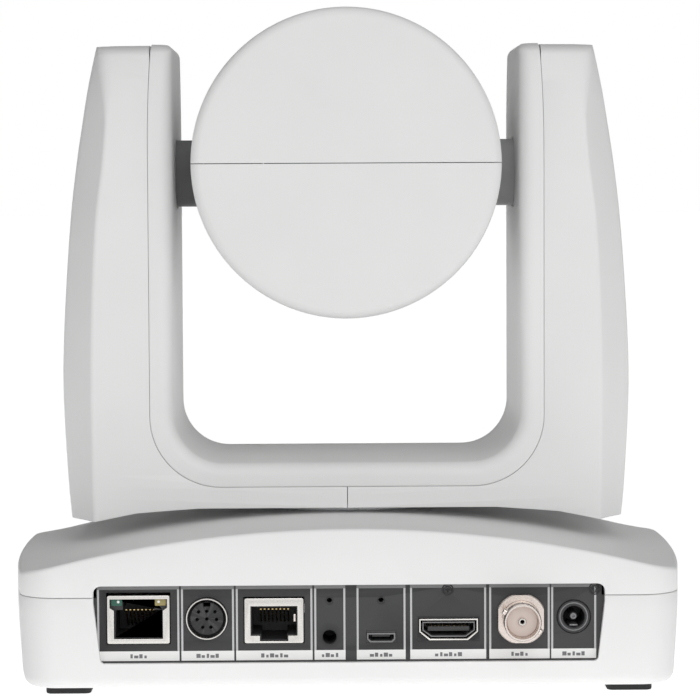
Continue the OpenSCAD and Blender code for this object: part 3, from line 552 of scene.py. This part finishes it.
def arm_outline(z, inset, inner_x, shallower=0.0):
    """Half of the yoke's outside at a height, as (x, y) points."""
    w, f, d = at_height(z, 1) - inset, at_height(z, 2) - inset * 0.5, half_depth(z) - inset - shallower
    top = max(z - 150, 0) / (ARM_TOP - 150)
    bevel = min(BEVEL_Y, d - 1)
    corners = [(inner_x, d), (f, d), (w, bevel), (w, -bevel), (f, -d), (inner_x, -d)]
    out = [corners[0]]
    for i, reach in ((1, 1.0 + 3.5 * top), (2, 2.5), (3, 2.5), (4, 1.0 + 3.5 * top)):
        out += soft_corner(corners[i - 1], corners[i], corners[i + 1], reach)
    return out + [corners[5]]


def arm_solid(name, inset, inner_x, top, edge_h, edge_d):
    def lowered(x, z):
        return z - 0.55 * max(x - 51, 0) / 17 * max(z - 150, 0) / (ARM_TOP - 150)

    heights = [36 + (ROLL_START - 36) * k / 34 for k in range(34)]
    heights += [ROLL_START + (top - edge_h - ROLL_START) * k / 14 for k in range(15)]
    levels = [(z, 0) for z in heights]
    levels += [(top - edge_h * (1 - math.sin(a)), edge_d * (1 - math.cos(a)))
               for a in (math.radians(9 * k) for k in range(1, 11))]
    return grid_solid(name, [[(x, y, lowered(x, z)) for x, y in arm_outline(z, inset, inner_x, back)]
                             for z, back in levels])


def under_solid(name, lift):
    """Everything below the yoke's underside."""
    profile = [(0, 20)] + [(r, z + lift) for r, z in UNDER_YOKE[1:]]
    profile += [(110, UNDER_YOKE[-1][1] + lift - 7), (110, 20)]
    return lathe(name, [(0, UNDER_YOKE[0][1] + lift)] + profile[1:] + [(0, 20)], segments=180)


def u_path(half, floor, corner, top):
    """The U from the top of the arm at +X to the other's top, as (x, z, normal x, normal z)."""
    points = [(half, top + (floor + corner - top) * k / 60, 1, 0) for k in range(60)]
    for k in range(17):
        a = math.radians(-90 * k / 16)
        points.append((half - corner + corner * math.cos(a), floor + corner + corner * math.sin(a),
                       math.cos(a), math.sin(a)))
    points += [((half - corner) * (1 - k / 6), floor, 0, -1) for k in range(1, 7)]
    return points + [(-x, z, -nx, nz) for x, z, nx, nz in points[-2::-1]]


def seam_x(z):
    """The joint between the covers leans inwards near the top."""
    t = max(z - 140, 0) / (ARM_TOP - 140)
    return SEAM_LEAN * t * t


def yoke_inner():
    """The inner cover before it is hollowed, swept along the U, with soft rear and front edges."""
    inner = u_path(GAP_HALF, CROSSBAR_TOP, U_CORNER, ARM_TOP)
    outer = u_path(SEAM_HALF, SEAM_FLOOR, SEAM_CORNER, ARM_TOP)
    rings = [inner_section(xi, zi, xo, zo) for (xi, zi, _, _), (xo, zo, _, _) in zip(inner, outer)
             if zi < ARM_TOP - 9]
    return grid_solid("yoke_inner_casing", top_cap(1)[::-1] + rings + top_cap(-1))


def inner_section(xi, zi, xo, zo, shrink=0.0):
    """Outline of the channel's solid form at one place on the U, from the gap side to the seam side."""
    span = math.hypot(xo - xi, zo - zi)
    nx, nz = (xo - xi) / span, (zo - zi) / span
    d = half_depth(zi) - shrink
    big, small = 3.6, 0.25 + 0.2 * (max(zi - 160, 0) / (ARM_TOP - 160)) ** 2
    side = arc(big, d - big, big, 180, 90, 6)
    side += [(big + (span - small - big) * t, d) for t in (0.3, 0.7)]
    side += arc(span - small, d - small, small, 90, 0, 3)
    outline = side + [(a, -y) for a, y in side[::-1]]
    lean = seam_x(zi) * (1 if xo > 0 else -1) if zi > 100 else 0
    return [(xi + nx * a - lean * (a / span), y, zi + nz * a) for a, y in outline]


def top_cap(side):
    """Sections that round the arm's top inner corner and its top edge."""
    corner = 2.4
    xi, xo = side * GAP_HALF, side * SEAM_HALF
    rings = [inner_section(xi, z, xo, z) for z in (ARM_TOP - 8, ARM_TOP - 6, ARM_TOP - 4)]
    for k in range(19):
        a = math.radians(5 * k)
        z = ARM_TOP - corner + corner * math.sin(a)
        over = max(z - (ARM_TOP - DOME_HEIGHT), 0) / DOME_HEIGHT
        shrink = DOME_DEPTH * (1 - math.sqrt(max(1 - over * over, 0)))
        rings.append(inner_section(xi + side * corner * (1 - math.cos(a)), z, xo, z, shrink))
    return rings


def yoke_inner_cavity():
    """The channel's hollow, open towards the outer covers."""
    top = ARM_TOP - COVER_WALL - 2
    inner = u_path(GAP_HALF + COVER_WALL, CROSSBAR_TOP - COVER_WALL, U_CORNER + COVER_WALL, top)
    outer = u_path(SEAM_HALF + 4, SEAM_FLOOR - 4, SEAM_CORNER + 4, top)
    rings = []
    for (xi, zi, _, _), (xo, zo, _, _) in zip(inner, outer):
        d = half_depth(zi) - COVER_WALL
        rings.append([(xi, d, zi), (xo, d, zo), (xo, -d, zo), (xi, -d, zi)])
    return grid_solid("tool", rings)


def yoke_inner_cover():
    shell = yoke_inner()
    cut(shell, yoke_inner_cavity(),
        lathe("tool", [(0, -60), (AXLE_R + 0.45, -60), (AXLE_R + 0.45, 60), (0, 60)], "x", (0, 0, TILT_Z)))
    round_edges(shell, lambda m: abs(abs(m.x) - GAP_HALF) < 0.2
                and math.hypot(m.y, m.z - TILT_Z) < AXLE_R + 1, 0.35, 2)
    return shell


def seam_tool(grow, cut_top):
    """The space that the inner cover takes, as a solid to cut the outer covers with."""
    outline = []
    for x, z, _, _ in u_path(SEAM_HALF + grow, SEAM_FLOOR - grow, SEAM_CORNER, cut_top):
        wider = 0.13 * max(z - (ARM_TOP - 4.5), 0) - (seam_x(z) if z > 100 else 0)
        outline.append((x + wider * (1 if x > 0 else -1), z))
    return prism("tool", outline, -50, 50)


def yoke_outer_cover(side):
    shell = arm_solid("yoke_outer_casing_" + ("right" if side > 0 else "left"), 0, 0, ARM_TOP, DOME_HEIGHT,
                      DOME_DEPTH)
    hollow = arm_solid("tool", COVER_WALL, COVER_WALL, ARM_TOP - COVER_WALL, 1.0, 1.0)
    cut(hollow, under_solid("tool", COVER_WALL))
    cut(shell, hollow, under_solid("tool", 0), seam_tool(SEAM_GAP, 175),
        block("tool", -5, 0.1, -60, 60, 0, 100),
        lathe("tool", [(0, 30), (HUB_NECK_R, 30), (HUB_NECK_R, 60), (0, 60)]),
        lathe("tool", [(0, 50), (14.5, 50), (14.5, 54), (0, 54)], "x", (0, 0, TILT_Z)))
    screw_hole = [(0, 30), (2.6, 30), (2.6, 46.1), (1.6, 46.1), (1.6, 60), (0, 60)]
    for y in (-14, 14):
        cut(shell, lathe("tool", screw_hole, center=(34, y, 0), segments=40))

    def seam_edge(m):
        on_face = abs(abs(m.y) - half_depth(m.z)) < 0.05
        if not on_face or m.z < SEAM_FLOOR - 0.3:
            return False
        if m.z > SEAM_FLOOR + SEAM_CORNER:
            return abs(m.x - (SEAM_HALF + SEAM_GAP - seam_x(m.z))) < 0.1
        dx = max(m.x - (SEAM_HALF + SEAM_GAP - SEAM_CORNER), 0)
        dz = m.z - (SEAM_FLOOR - SEAM_GAP + SEAM_CORNER)
        return abs(math.hypot(dx, dz) - SEAM_CORNER) < 0.1

    round_edges(shell, seam_edge, 0.3, 2)
    round_edges(shell, lambda m: m.x > 2 and abs(m.z - under_height(math.hypot(m.x, m.y))) < 0.12
                and (abs(m.y) > YOKE_HALF_D - 0.05 or m.x > 67), 0.35, 2)
    if side < 0:
        shell.data.transform(Matrix.Scale(-1, 4, (1, 0, 0)))
        shell.data.flip_normals()
    return shell


def under_height(r):
    for (r1, z1), (r2, z2) in zip(UNDER_YOKE, UNDER_YOKE[1:]):
        if r <= r2:
            return z1 + (z2 - z1) * (r - r1) / (r2 - r1)
    return UNDER_YOKE[-1][1]


finish_piece(yoke_inner_cover(), "yoke", SHELL, ["yoke_inner_cover"])
finish_piece(yoke_outer_cover(1), "yoke", SHELL, ["yoke_outer_cover_right"], 24)
finish_piece(yoke_outer_cover(-1), "yoke", SHELL, ["yoke_outer_cover_left"], 24)


# ---------- head ----------

def drum_profile():
    """Outside then inside of the drum's wall, as (radius, y)."""
    outer = [(DRUM_R - 0.3, SHELL_FRONT), (DRUM_R, SHELL_FRONT + 0.3)]
    outer += [(DRUM_R, SHELL_FRONT + (DRUM_BACK - 3.8 - SHELL_FRONT) * k / 4) for k in range(1, 4)]
    edge = 3.0
    outer += [(DRUM_R - edge + edge * math.cos(a), DRUM_BACK - 3.8 + edge * math.sin(a))
              for a in (math.radians(8 * k) for k in range(11))]
    last_r, last_y = outer[-1]
    for k in range(1, 19):
        t = k / 18
        outer.append((last_r * (1 - t), last_y + (DRUM_BACK - last_y) * (1 - (1 - t) ** 2)))
    inner = [(0, DRUM_BACK - HEAD_WALL), (DRUM_R - 8, DRUM_BACK - HEAD_WALL - 0.8),
             (DRUM_R - 4, DRUM_BACK - HEAD_WALL - 2.4), (DRUM_R - HEAD_WALL, DRUM_BACK - HEAD_WALL - 5),
             (DRUM_R - HEAD_WALL, SHELL_FRONT)]
    return outer + inner


def head_half(name, upper):
    shell = lathe(name, drum_profile(), "y", (0, 0, DRUM_Z), 192)
    gap = 0.1
    bm = bmesh.new()
    bm.from_mesh(shell.data)
    level = DRUM_Z + (gap if upper else -gap)
    sliced = bmesh.ops.bisect_plane(bm, geom=bm.verts[:] + bm.edges[:] + bm.faces[:], dist=1e-7,
                                    plane_co=(0, 0, level * MM), plane_no=(0, 0, -1 if upper else 1),
                                    clear_outer=True)
    rim = [e for e in sliced["geom_cut"] if isinstance(e, bmesh.types.BMEdge)]
    bmesh.ops.holes_fill(bm, edges=rim)
    bmesh.ops.recalc_face_normals(bm, faces=bm.faces)
    bm.to_mesh(shell.data)
    bm.free()

    def split_edge(m):
        r = math.hypot(m.x, m.z - DRUM_Z)
        return abs(m.z - level) < 0.02 and (r > DRUM_R - 0.4 or m.y > DRUM_BACK - HEAD_WALL + 0.3
                                            or (m.y > DRUM_BACK - 4.5 and r > DRUM_R - HEAD_WALL - 2.5))

    round_edges(shell, split_edge, 0.28, 2)
    axle_hole_r = AXLE_R + 0.12
    cut(shell, lathe("tool", [(0, -60), (axle_hole_r, -60), (axle_hole_r, 60), (0, 60)], "x", (0, 0, TILT_Z)))
    if not upper:
        for x in (-13, 13):
            for y in (-27, 14):
                cut(shell, lathe("tool", [(0, 90), (3, 90), (3, 104), (0, 104)], center=(x, y, 0),
                                 segments=48))
    return shell


finish_piece(head_half("head_upper_casing", True), "head", SHELL, ["head_upper_shell"])
finish_piece(head_half("head_lower_casing", False), "head", SHELL, ["head_lower_shell"])


# ---------- rear panel ----------

X_NETWORK, X_DIN, X_MODULAR, X_AUDIO = 54.3, 36.7, 19.4, 5.1
X_MICRO, X_VIDEO, X_COAX, X_DC = -8.2, -25.6, -44.2, -57.9
Z_DIN, Z_AUDIO, Z_COAX, Z_DC = 20.4, 15.4, 20.0, 20.3
BOARD_TOP = 14.0
JACK_FRONT, JACK_REAR, JACK_DEPTH = 41, 62, 19
BACKING_FRONT, BACKING_REAR = 60.1, 61.56
DIN_PINS = [(-2.1, 1.75), (0, 1.9), (2.1, 1.75), (-2.5, -0.25), (0, -0.1), (2.5, -0.25), (-1.05, -2.25),
            (1.05, -2.25)]


def moved(outline, x, z=0.0):
    return [(px + x, pz + z) for px, pz in outline]


def can(name, outline, opening, y1, y2, depth, lip=0.25):
    """A folded metal can with a blind opening, both given as (x, z) outlines."""
    shell = prism(name, outline, y1, y2)
    cut(shell, prism("tool", opening, y2 - depth, y2 + 1))
    return round_edges(shell, lambda m: m.y > y2 - 0.01, lip, 2)


def mirrored_x(points):
    return points + [(-x, z) for x, z in points[::-1]]


def tube(name, x, z, profile, segments=64):
    """Closed (radius, y) profile about a connector's own axis."""
    return lathe(name, profile, "y", (x, 0, z), segments)


def wires(name, x, count, pitch, width, path, thick=0.25):
    """Sprung contacts side by side, each following (y, z) points."""
    pieces = []
    for k in range(count):
        cx = x + (k - (count - 1) / 2) * pitch
        rings = [[(cx - width / 2, y, z), (cx + width / 2, y, z), (cx + width / 2, y, z + thick),
                  (cx - width / 2, y, z + thick)] for y, z in path]
        pieces.append(grid_solid("wire", rings))
    return joined(name, pieces)


def network_port():
    outline = moved(rounded_rect(-8.05, 8.05, BOARD_TOP, 26.5, 0.5), X_NETWORK)
    hole = mirrored_x([(6.25, 15.3), (6.25, 22.6), (7.35, 23.3), (7.35, 25.5)])
    shield = can("network_jack_shield", outline, moved(hole, X_NETWORK), JACK_FRONT, JACK_REAR, JACK_DEPTH)
    finish_piece(shield, "base", NICKEL, ["network_jack"])
    core = prism("network_jack_core", moved(hole, X_NETWORK), 43.2, 60.9)
    plug = mirrored_x([(5.9, 15.6), (5.9, 22.6), (4.0, 22.6), (4.0, 25.2)])
    cut(core, prism("tool", moved(plug, X_NETWORK), 46, 62))
    round_edges(core, lambda m: m.y > 60.8, 0.2, 2)
    finish_piece(core, "base", BLACK)
    for side, which, colour in ((1, "left", GREEN), (-1, "right", AMBER)):
        x1, x2 = sorted((X_NETWORK + side * 4.2, X_NETWORK + side * 7.1))
        lamp = block("network_lamp_" + which, x1, x2, 58, 61.2, 23.7, 25.5, 0.25)
        finish_piece(lamp, "base", colour)
        dot = tube("network_lamp_dot_" + which, X_NETWORK + side * 5.2, 24.8,
                   [(0, 60), (0.35, 60), (0.35, 61.25), (0.2, 61.35), (0, 61.38)], 24)
        finish_piece(dot, "base", LABEL)
    contacts = wires("network_contacts", X_NETWORK, 8, 1.02, 0.4, [(47, 16.6), (50, 18.2), (54.5, 21.6)])
    finish_piece(contacts, "base", GOLD)
    pads = wires("network_pads", X_NETWORK - 0.2, 8, 1.1, 0.6, [(52, 15.65), (59.5, 15.65)], 0.3)
    finish_piece(pads, "base", COPPER)


def modular_port():
    outline = moved(rounded_rect(-7.6, 7.6, BOARD_TOP - 0.05, 25.6, 0.5), X_MODULAR)
    hole = mirrored_x([(3.6, 14.5), (3.6, 15.9), (6.0, 15.9), (6.0, 23.5)])
    shield = can("modular_jack_shield", outline, moved(hole, X_MODULAR), JACK_FRONT, JACK_REAR, JACK_DEPTH)
    finish_piece(shield, "base", NICKEL, ["modular_jack"])
    core = prism("modular_jack_core", moved(hole, X_MODULAR), 43.2, 61.1)
    plug = mirrored_x([(3.3, 14.8), (3.3, 16.2), (5.7, 16.2), (5.7, 23.2)])
    cut(core, prism("tool", moved(plug, X_MODULAR), 46, 62))
    round_edges(core, lambda m: m.y > 61, 0.15, 2)
    finish_piece(core, "base", BLACK)
    tab = block("modular_ground_tab", X_MODULAR - 5.7, X_MODULAR - 5.0, 54, 60.4, 19.2, 21.3, 0.2)
    finish_piece(tab, "base", WARM_NICKEL)
    contacts = wires("modular_contacts", X_MODULAR, 8, 1.02, 0.4, [(47, 17.2), (50, 18.6), (53.5, 21.4)])
    finish_piece(contacts, "base", GOLD)


def din_port():
    body = tube("control_jack_ring", X_DIN, Z_DIN,
                [(4.85, 56), (5.4, 56), (5.4, 62.5), (5.3, 62.75), (5.05, 62.75), (4.9, 62.5), (4.85, 62)])
    finish_piece(body, "base", NICKEL, ["control_din_jack"])
    face = tube("control_jack_core", X_DIN, Z_DIN,
                [(0, 55), (4.85, 55), (4.85, 60), (4.3, 60), (4.3, 61.6), (4.15, 61.75), (0, 61.75)])
    pin_hole = [(0, 57), (0.42, 57), (0.42, 61.5), (0.55, 62), (0, 62)]
    for x, z in DIN_PINS:
        cut(face, tube("tool", X_DIN + x, Z_DIN + z, pin_hole, 20))
    cut(face, block("tool", X_DIN - 0.9, X_DIN + 0.9, 59, 63, Z_DIN + 3.1, Z_DIN + 4.2))
    finish_piece(face, "base", PANEL)
    housing = block("control_jack_housing", X_DIN - 6.5, X_DIN + 6.5, 45, 59, BOARD_TOP, 27, 0.3)
    finish_piece(housing, "base", BLACK)


def audio_port():
    barrel = tube("audio_jack_barrel", X_AUDIO, Z_AUDIO,
                  [(1.8, 48), (3.05, 48), (3.05, 60.2), (3.5, 60.2), (3.5, 61.63), (2.0, 61.63),
                   (1.8, 61.45)])
    finish_piece(barrel, "base", PANEL, ["audio_jack"])
    housing = block("audio_jack_housing", X_AUDIO - 3.4, X_AUDIO + 3.4, 46, 59, BOARD_TOP - 2, 18.6, 0.3)
    cut(housing, tube("tool", X_AUDIO, Z_AUDIO, [(0, 48.5), (3.02, 48.5), (3.02, 60), (0, 60)]))
    finish_piece(housing, "base", BLACK)


def video_port():
    def outline(grow):
        return moved(mirrored_x([(5.0 + grow * 0.6, 14.4 - grow), (7.6 + grow, 16.6 - grow * 0.4),
                                 (7.6 + grow, 20.0 + grow)]), X_VIDEO)

    shell = can("video_jack_shell", outline(0), outline(-0.42), 47, 62.1, 13, 0.16)
    finish_piece(shell, "base", NICKEL, ["digital_video_jack"])
    liner = can("video_jack_liner", outline(-0.85), outline(-1.15), 49.5, 61.7, 10.5, 0.1)
    finish_piece(liner, "base", NICKEL_PAINTED_SHADE)
    around = rounded_rect(X_VIDEO - 7.9, X_VIDEO + 7.9, 14.2, 20.6, 0.1)
    backing = prism("video_jack_backing", around, BACKING_FRONT, BACKING_REAR)
    finish_piece(cut(backing, prism("tool", outline(0.12), 58, 63)), "base", PANEL)
    tongue = block("video_jack_tongue", X_VIDEO - 5.4, X_VIDEO + 5.4, 50, 61.2, 16.7, 17.9, 0.2)
    finish_piece(tongue, "base", PANEL)
    contacts = wires("video_contacts", X_VIDEO, 10, 1.0, 0.45, [(52, 17.75), (60.6, 17.75)], 0.2)
    finish_piece(contacts, "base", GOLD)


def micro_port():
    def outline(grow):
        return moved(mirrored_x([(2.8 + grow * 0.6, 14.0 - grow), (3.6 + grow, 14.8 - grow * 0.3),
                                 (3.6 + grow, 16.3 + grow)]), X_MICRO)

    shell = can("service_jack_shell", outline(0.1), outline(-0.35), 52, 61.8, 8, 0.12)
    finish_piece(shell, "base", NICKEL_PAINTED_SHADE, ["service_micro_jack"])
    around = rounded_rect(X_MICRO - 3.8, X_MICRO + 3.8, 13.9, 17.0, 0.1)
    backing = prism("service_jack_backing", around, BACKING_FRONT, BACKING_REAR)
    finish_piece(cut(backing, prism("tool", outline(0.2), 58, 63)), "base", PANEL)
    tongue = block("service_jack_tongue", X_MICRO - 2.3, X_MICRO + 2.3, 54, 61.1, 15.3, 15.95, 0.12)
    finish_piece(tongue, "base", BLACK)


def coax_port():
    shell = tube("coax_jack_barrel", X_COAX, Z_COAX,
                 [(4.0, 57), (5.1, 57), (5.1, 61.7), (6.5, 61.7), (6.6, 61.85), (6.6, 63.3), (6.35, 63.6),
                  (4.95, 63.6), (4.8, 63.8), (4.8, 69.6), (4.6, 69.95), (4.25, 69.95), (4.0, 69.6)], 96)
    for side in (1, -1):
        z1, z2 = sorted((Z_COAX + side * 6.2, Z_COAX + side * 9))
        cut(shell, block("tool", X_COAX - 9, X_COAX + 9, 60, 63.7, z1, z2))
    cut(shell, block("tool", X_COAX + 5.85, X_COAX + 9, 60, 63.7, 5, 35),
        block("tool", X_COAX - 9, X_COAX - 5.85, 60, 63.7, 5, 35))
    finish_piece(shell, "base", WARM_NICKEL, ["coax_jack"], 30)
    lug_profile = [(0, 4.5), (0.85, 4.5), (0.85, 5.5), (0.7, 5.65), (0, 5.65)]
    lugs = [tube("lug", 0, 0, lug_profile, 32) for _ in range(2)]
    for lug, turn in zip(lugs, (30, 210)):
        upright = Matrix.Rotation(math.pi / 2, 4, "X")
        lug.data.transform(Matrix.Rotation(math.radians(turn) - math.pi / 2, 4, "Y").inverted() @ upright)
        lug.data.transform(Matrix.Translation(Vector((X_COAX, 67.2, Z_COAX)) * MM))
    finish_piece(joined("coax_bayonet_lugs", lugs), "base", WARM_NICKEL)
    core = tube("coax_jack_insulator", X_COAX, Z_COAX,
                [(1.05, 57), (4.0, 57), (4.0, 67.3), (3.8, 67.5), (1.05, 67.5)])
    finish_piece(core, "base", CREAM)
    pin = tube("coax_centre_contact", X_COAX, Z_COAX,
               [(0.5, 60), (1.05, 60), (1.05, 68.1), (0.9, 68.3), (0.62, 68.3), (0.5, 68.1)], 40)
    finish_piece(pin, "base", NICKEL)


def power_port():
    sleeve = tube("power_jack_sleeve", X_DC, Z_DC,
                  [(2.75, 50), (4.3, 50), (4.3, 61.6), (4.1, 61.9), (3.75, 61.9), (3.7, 61.6), (3.4, 61.6),
                   (3.35, 61.9), (2.95, 61.9), (2.75, 61.6)])
    finish_piece(sleeve, "base", BLACK, ["dc_power_jack"])
    housing = block("power_jack_housing", X_DC - 4.5, X_DC + 4.5, 48, 58, BOARD_TOP, 25.3, 0.3)
    cut(housing, tube("tool", X_DC, Z_DC, [(0, 49.9), (4.28, 49.9), (4.28, 60), (0, 60)]))
    finish_piece(housing, "base", BLACK)
    ring = tube("power_jack_ring", X_DC, Z_DC, [(3.4, 60.5), (3.7, 60.5), (3.7, 61.64), (3.4, 61.64)])
    finish_piece(ring, "base", NICKEL_PAINTED_SHADE)
    pin = tube("power_jack_pin", X_DC, Z_DC,
               [(0, 50), (0.95, 50), (0.95, 60.3), (0.75, 60.6), (0.4, 60.6), (0.35, 60.2), (0, 60.2)], 32)
    spring = block("spring", X_DC - 1.1, X_DC + 1.1, 54, 60.8, Z_DC - 2.6, Z_DC - 2.1, 0.15)
    finish_piece(joined("power_jack_contacts", [pin, spring]), "base", NICKEL_PAINTED_SHADE)


# where each connector's printed frame starts and ends in x
CELLS = [(43.8, 64.9), (29.7, 43.3), (9.5, 29.2), (1.0, 9.0), (-14.5, -1.9), (-35.3, -15.7), (-51.7, -36.1),
         (-63.7, -52.1)]
STRIP_LOW, STRIP_HIGH, FRAME_HIGH, FRAME_TOP = 9.5, 12.0, 28.0, 28.95
LINE_W = 0.5
SCREW_Z, PINHOLE_Z = 27.5, 24.8


def panel_screws():
    """Two dark screws near the panel's top edge and two pinholes, each inside a raised rim."""
    heads, rims = [], []
    head_profile = [(0, 56), (0.9, 56), (0.9, 61.2), (1.05, 61.2), (1.05, 61.75), (0.85, 61.95), (0, 62)]
    for x in (X_VIDEO + 0.2, X_DC - 5.4):
        head = tube("head", x, SCREW_Z, head_profile, 40)
        cut(head, block("tool", x - 0.7, x + 0.7, 61.4, 63, 27.35, 27.65),
            block("tool", x - 0.15, x + 0.15, 61.4, 63, 26.8, 28.2))
        heads.append(head)
        rims.append(tube("rim", x, SCREW_Z,
                         [(1.1, 61.5), (1.6, 61.5), (1.6, 61.68), (1.45, 61.76), (1.2, 61.66)], 40))
    for x in (X_AUDIO, X_MICRO):
        rims.append(tube("rim", x, PINHOLE_Z,
                         [(0.72, 61.5), (1.05, 61.5), (1.05, 61.66), (0.95, 61.72), (0.76, 61.62)], 32))
    finish_piece(joined("panel_screw_heads", heads), "base", BLACK, ["panel_screws"])
    finish_piece(joined("panel_hole_rims", rims), "base", PANEL)


def panel_print():
    """Raised ink on the panel: a frame round every connector and a blank strip with plain marks under it;
    each frame's printed top bar is darkened with painted shadow from the opening's top wall.
    """
    ink, shade, strips, marks = [], [], [], []
    y1, y2 = PANEL_FACE - 0.02, PANEL_FACE + 0.06
    for k, (x1, x2) in enumerate(CELLS):
        strips.append(block("strip", x1, x2, y1, y2, STRIP_LOW, STRIP_HIGH))
        ink += [block("bar", x1, x1 + LINE_W, y1, y2, STRIP_HIGH, FRAME_HIGH),
                block("bar", x2 - LINE_W, x2, y1, y2, STRIP_HIGH, FRAME_HIGH)]
        shade.append(block("bar", x1, x2, y1, y2, FRAME_HIGH, FRAME_TOP))
        middle, dashes = (x1 + x2) / 2, 4 + k % 3
        for j in range(dashes):
            cx, half = middle + (j - (dashes - 1) / 2) * 1.2, 0.3 + 0.12 * ((j + k) % 3)
            high = 10.9 + 0.35 * ((j + k) % 2)
            marks.append(block("mark", cx - half, cx + half, y2 - 0.01, y2 + 0.03, 10.2, high))
    finish_piece(joined("panel_print_lines", ink), "base", INK)
    finish_piece(joined("panel_print_tops", shade), "base", INK_WITH_PAINTED_SHADOW)
    finish_piece(joined("panel_print_strips", strips), "base", LABEL)
    finish_piece(joined("panel_print_marks", marks), "base", MARK)


network_port()
modular_port()
din_port()
audio_port()
video_port()
micro_port()
coax_port()
power_port()
panel_screws()
panel_print()

# ---------- carried-over CAD nodes ----------

REPLACED = {"base_lower_shell", "base_upper_shell", "rubber_feet", "yoke_inner_cover",
            "yoke_outer_cover_left", "yoke_outer_cover_right", "head_upper_shell", "head_lower_shell",
            "network_jack", "modular_jack", "control_din_jack", "audio_jack", "digital_video_jack",
            "service_micro_jack", "coax_jack", "dc_power_jack", "panel_screws"}
slot_of = {s["node"]: s["material_slot"] for s in frame["record"]["subparts"]}
for name, node in nodes.items():
    if name in REPLACED:
        continue
    node.data.materials.clear()
    # the right tilt axle takes the darker copy of the axle paint, which is painted shade
    node.data.materials.append(AXLE_PAINTED_SHADE if name == "tilt_axle_right" else BY_SLOT[slot_of[name]])
    smooth(node, 30)
    soft = node.modifiers.new("soft_edges", "BEVEL")
    soft.width, soft.segments, soft.limit_method = 0.12 * MM, 2, "ANGLE"
    soft.angle_limit = math.radians(40)
    soft.harden_normals = True

# ---------- floor, light and camera ----------

def studio_floor():
    """A pale floor that glows a little, less so far behind the object."""
    material = surface("pale_floor", (0.62, 0.62, 0.62), 0.9, mottle=0.004, grain=50, bump=0.0, specular=0.1)
    tree = material.node_tree
    shader = tree.nodes["Principled BSDF"]
    shader.inputs["Emission Color"].default_value = (1, 1, 1, 1)
    place = tree.nodes.new("ShaderNodeTexCoord")
    axes = tree.nodes.new("ShaderNodeSeparateXYZ")
    near = tree.nodes.new("ShaderNodeMapRange")
    near.interpolation_type = "SMOOTHSTEP"
    near.inputs["From Min"].default_value, near.inputs["From Max"].default_value = GLOW_START, GLOW_END
    near.inputs["To Min"].default_value, near.inputs["To Max"].default_value = FLOOR_GLOW, FAR_GLOW
    tree.links.new(place.outputs["Object"], axes.inputs["Vector"])
    tree.links.new(axes.outputs["Y"], near.inputs["Value"])
    tree.links.new(near.outputs["Result"], shader.inputs["Emission Strength"])
    floor = block("studio_floor", -6000, 6000, -9000, 5000, -20, 0)
    floor.data.materials.append(material)


def studio_world():
    """White, in broad soft patches of different strength."""
    world = bpy.data.worlds.new("soft_studio")
    bpy.context.scene.world = world
    world.use_nodes = True
    sky = world.node_tree
    background = sky.nodes["Background"]
    background.inputs["Color"].default_value = (1, 1, 1, 1)
    where = sky.nodes.new("ShaderNodeTexCoord")
    split = sky.nodes.new("ShaderNodeSeparateXYZ")
    sky.links.new(where.outputs["Generated"], split.inputs["Vector"])
    strength = None
    for axis, full, end, power in SKY_LOBES:
        lobe = sky.nodes.new("ShaderNodeMapRange")
        lobe.interpolation_type = "SMOOTHSTEP"
        lobe.inputs["From Min"].default_value, lobe.inputs["From Max"].default_value = full, end
        lobe.inputs["To Min"].default_value, lobe.inputs["To Max"].default_value = power, 0
        sky.links.new(split.outputs[axis], lobe.inputs["Value"])
        if strength is None:
            strength = lobe.outputs["Result"]
        else:
            both = sky.nodes.new("ShaderNodeMath")
            both.operation = "ADD"
            sky.links.new(strength, both.inputs[0])
            sky.links.new(lobe.outputs["Result"], both.inputs[1])
            strength = both.outputs["Value"]
    sky.links.new(strength, background.inputs["Strength"])


def soft_light(name, place, target, size, power):
    data = bpy.data.lights.new(name, "AREA")
    data.shape, data.size, data.energy = "DISK", size, power
    lamp = bpy.data.objects.new(name, data)
    bpy.context.scene.collection.objects.link(lamp)
    lamp.location = place
    lamp.rotation_euler = (Vector(target) - Vector(place)).to_track_quat("-Z", "Y").to_euler()


def rear_camera():
    """Looks at the object's rear from 0.73 m away."""
    data = bpy.data.cameras.new("camera")
    data.lens, data.sensor_width = FOCAL_LENGTH, SENSOR_WIDTH
    camera = bpy.data.objects.new("camera", data)
    bpy.context.scene.collection.objects.link(camera)
    camera.location = CAMERA_AT
    level_view = (CAMERA_AIM - CAMERA_AT).to_track_quat("-Z", "Y").to_matrix()
    camera.rotation_euler = (level_view @ Matrix.Rotation(math.radians(CAMERA_ROLL), 3, "Z")).to_euler()
    bpy.context.scene.camera = camera


CAMERA_AT = Vector((7.3, 794.8, 134.1)) * MM
CAMERA_AIM = Vector((-0.5, 64.0, 89.65)) * MM
CAMERA_ROLL = -0.28
FOCAL_LENGTH, SENSOR_WIDTH = 147.4, 36

studio_floor()
studio_world()
soft_light("key_light", (-0.35, 1.25, 0.95), (0, 0, 0.08), 0.9, KEY_POWER)
rear_camera()
bpy.context.scene.view_settings.view_transform = "Standard"
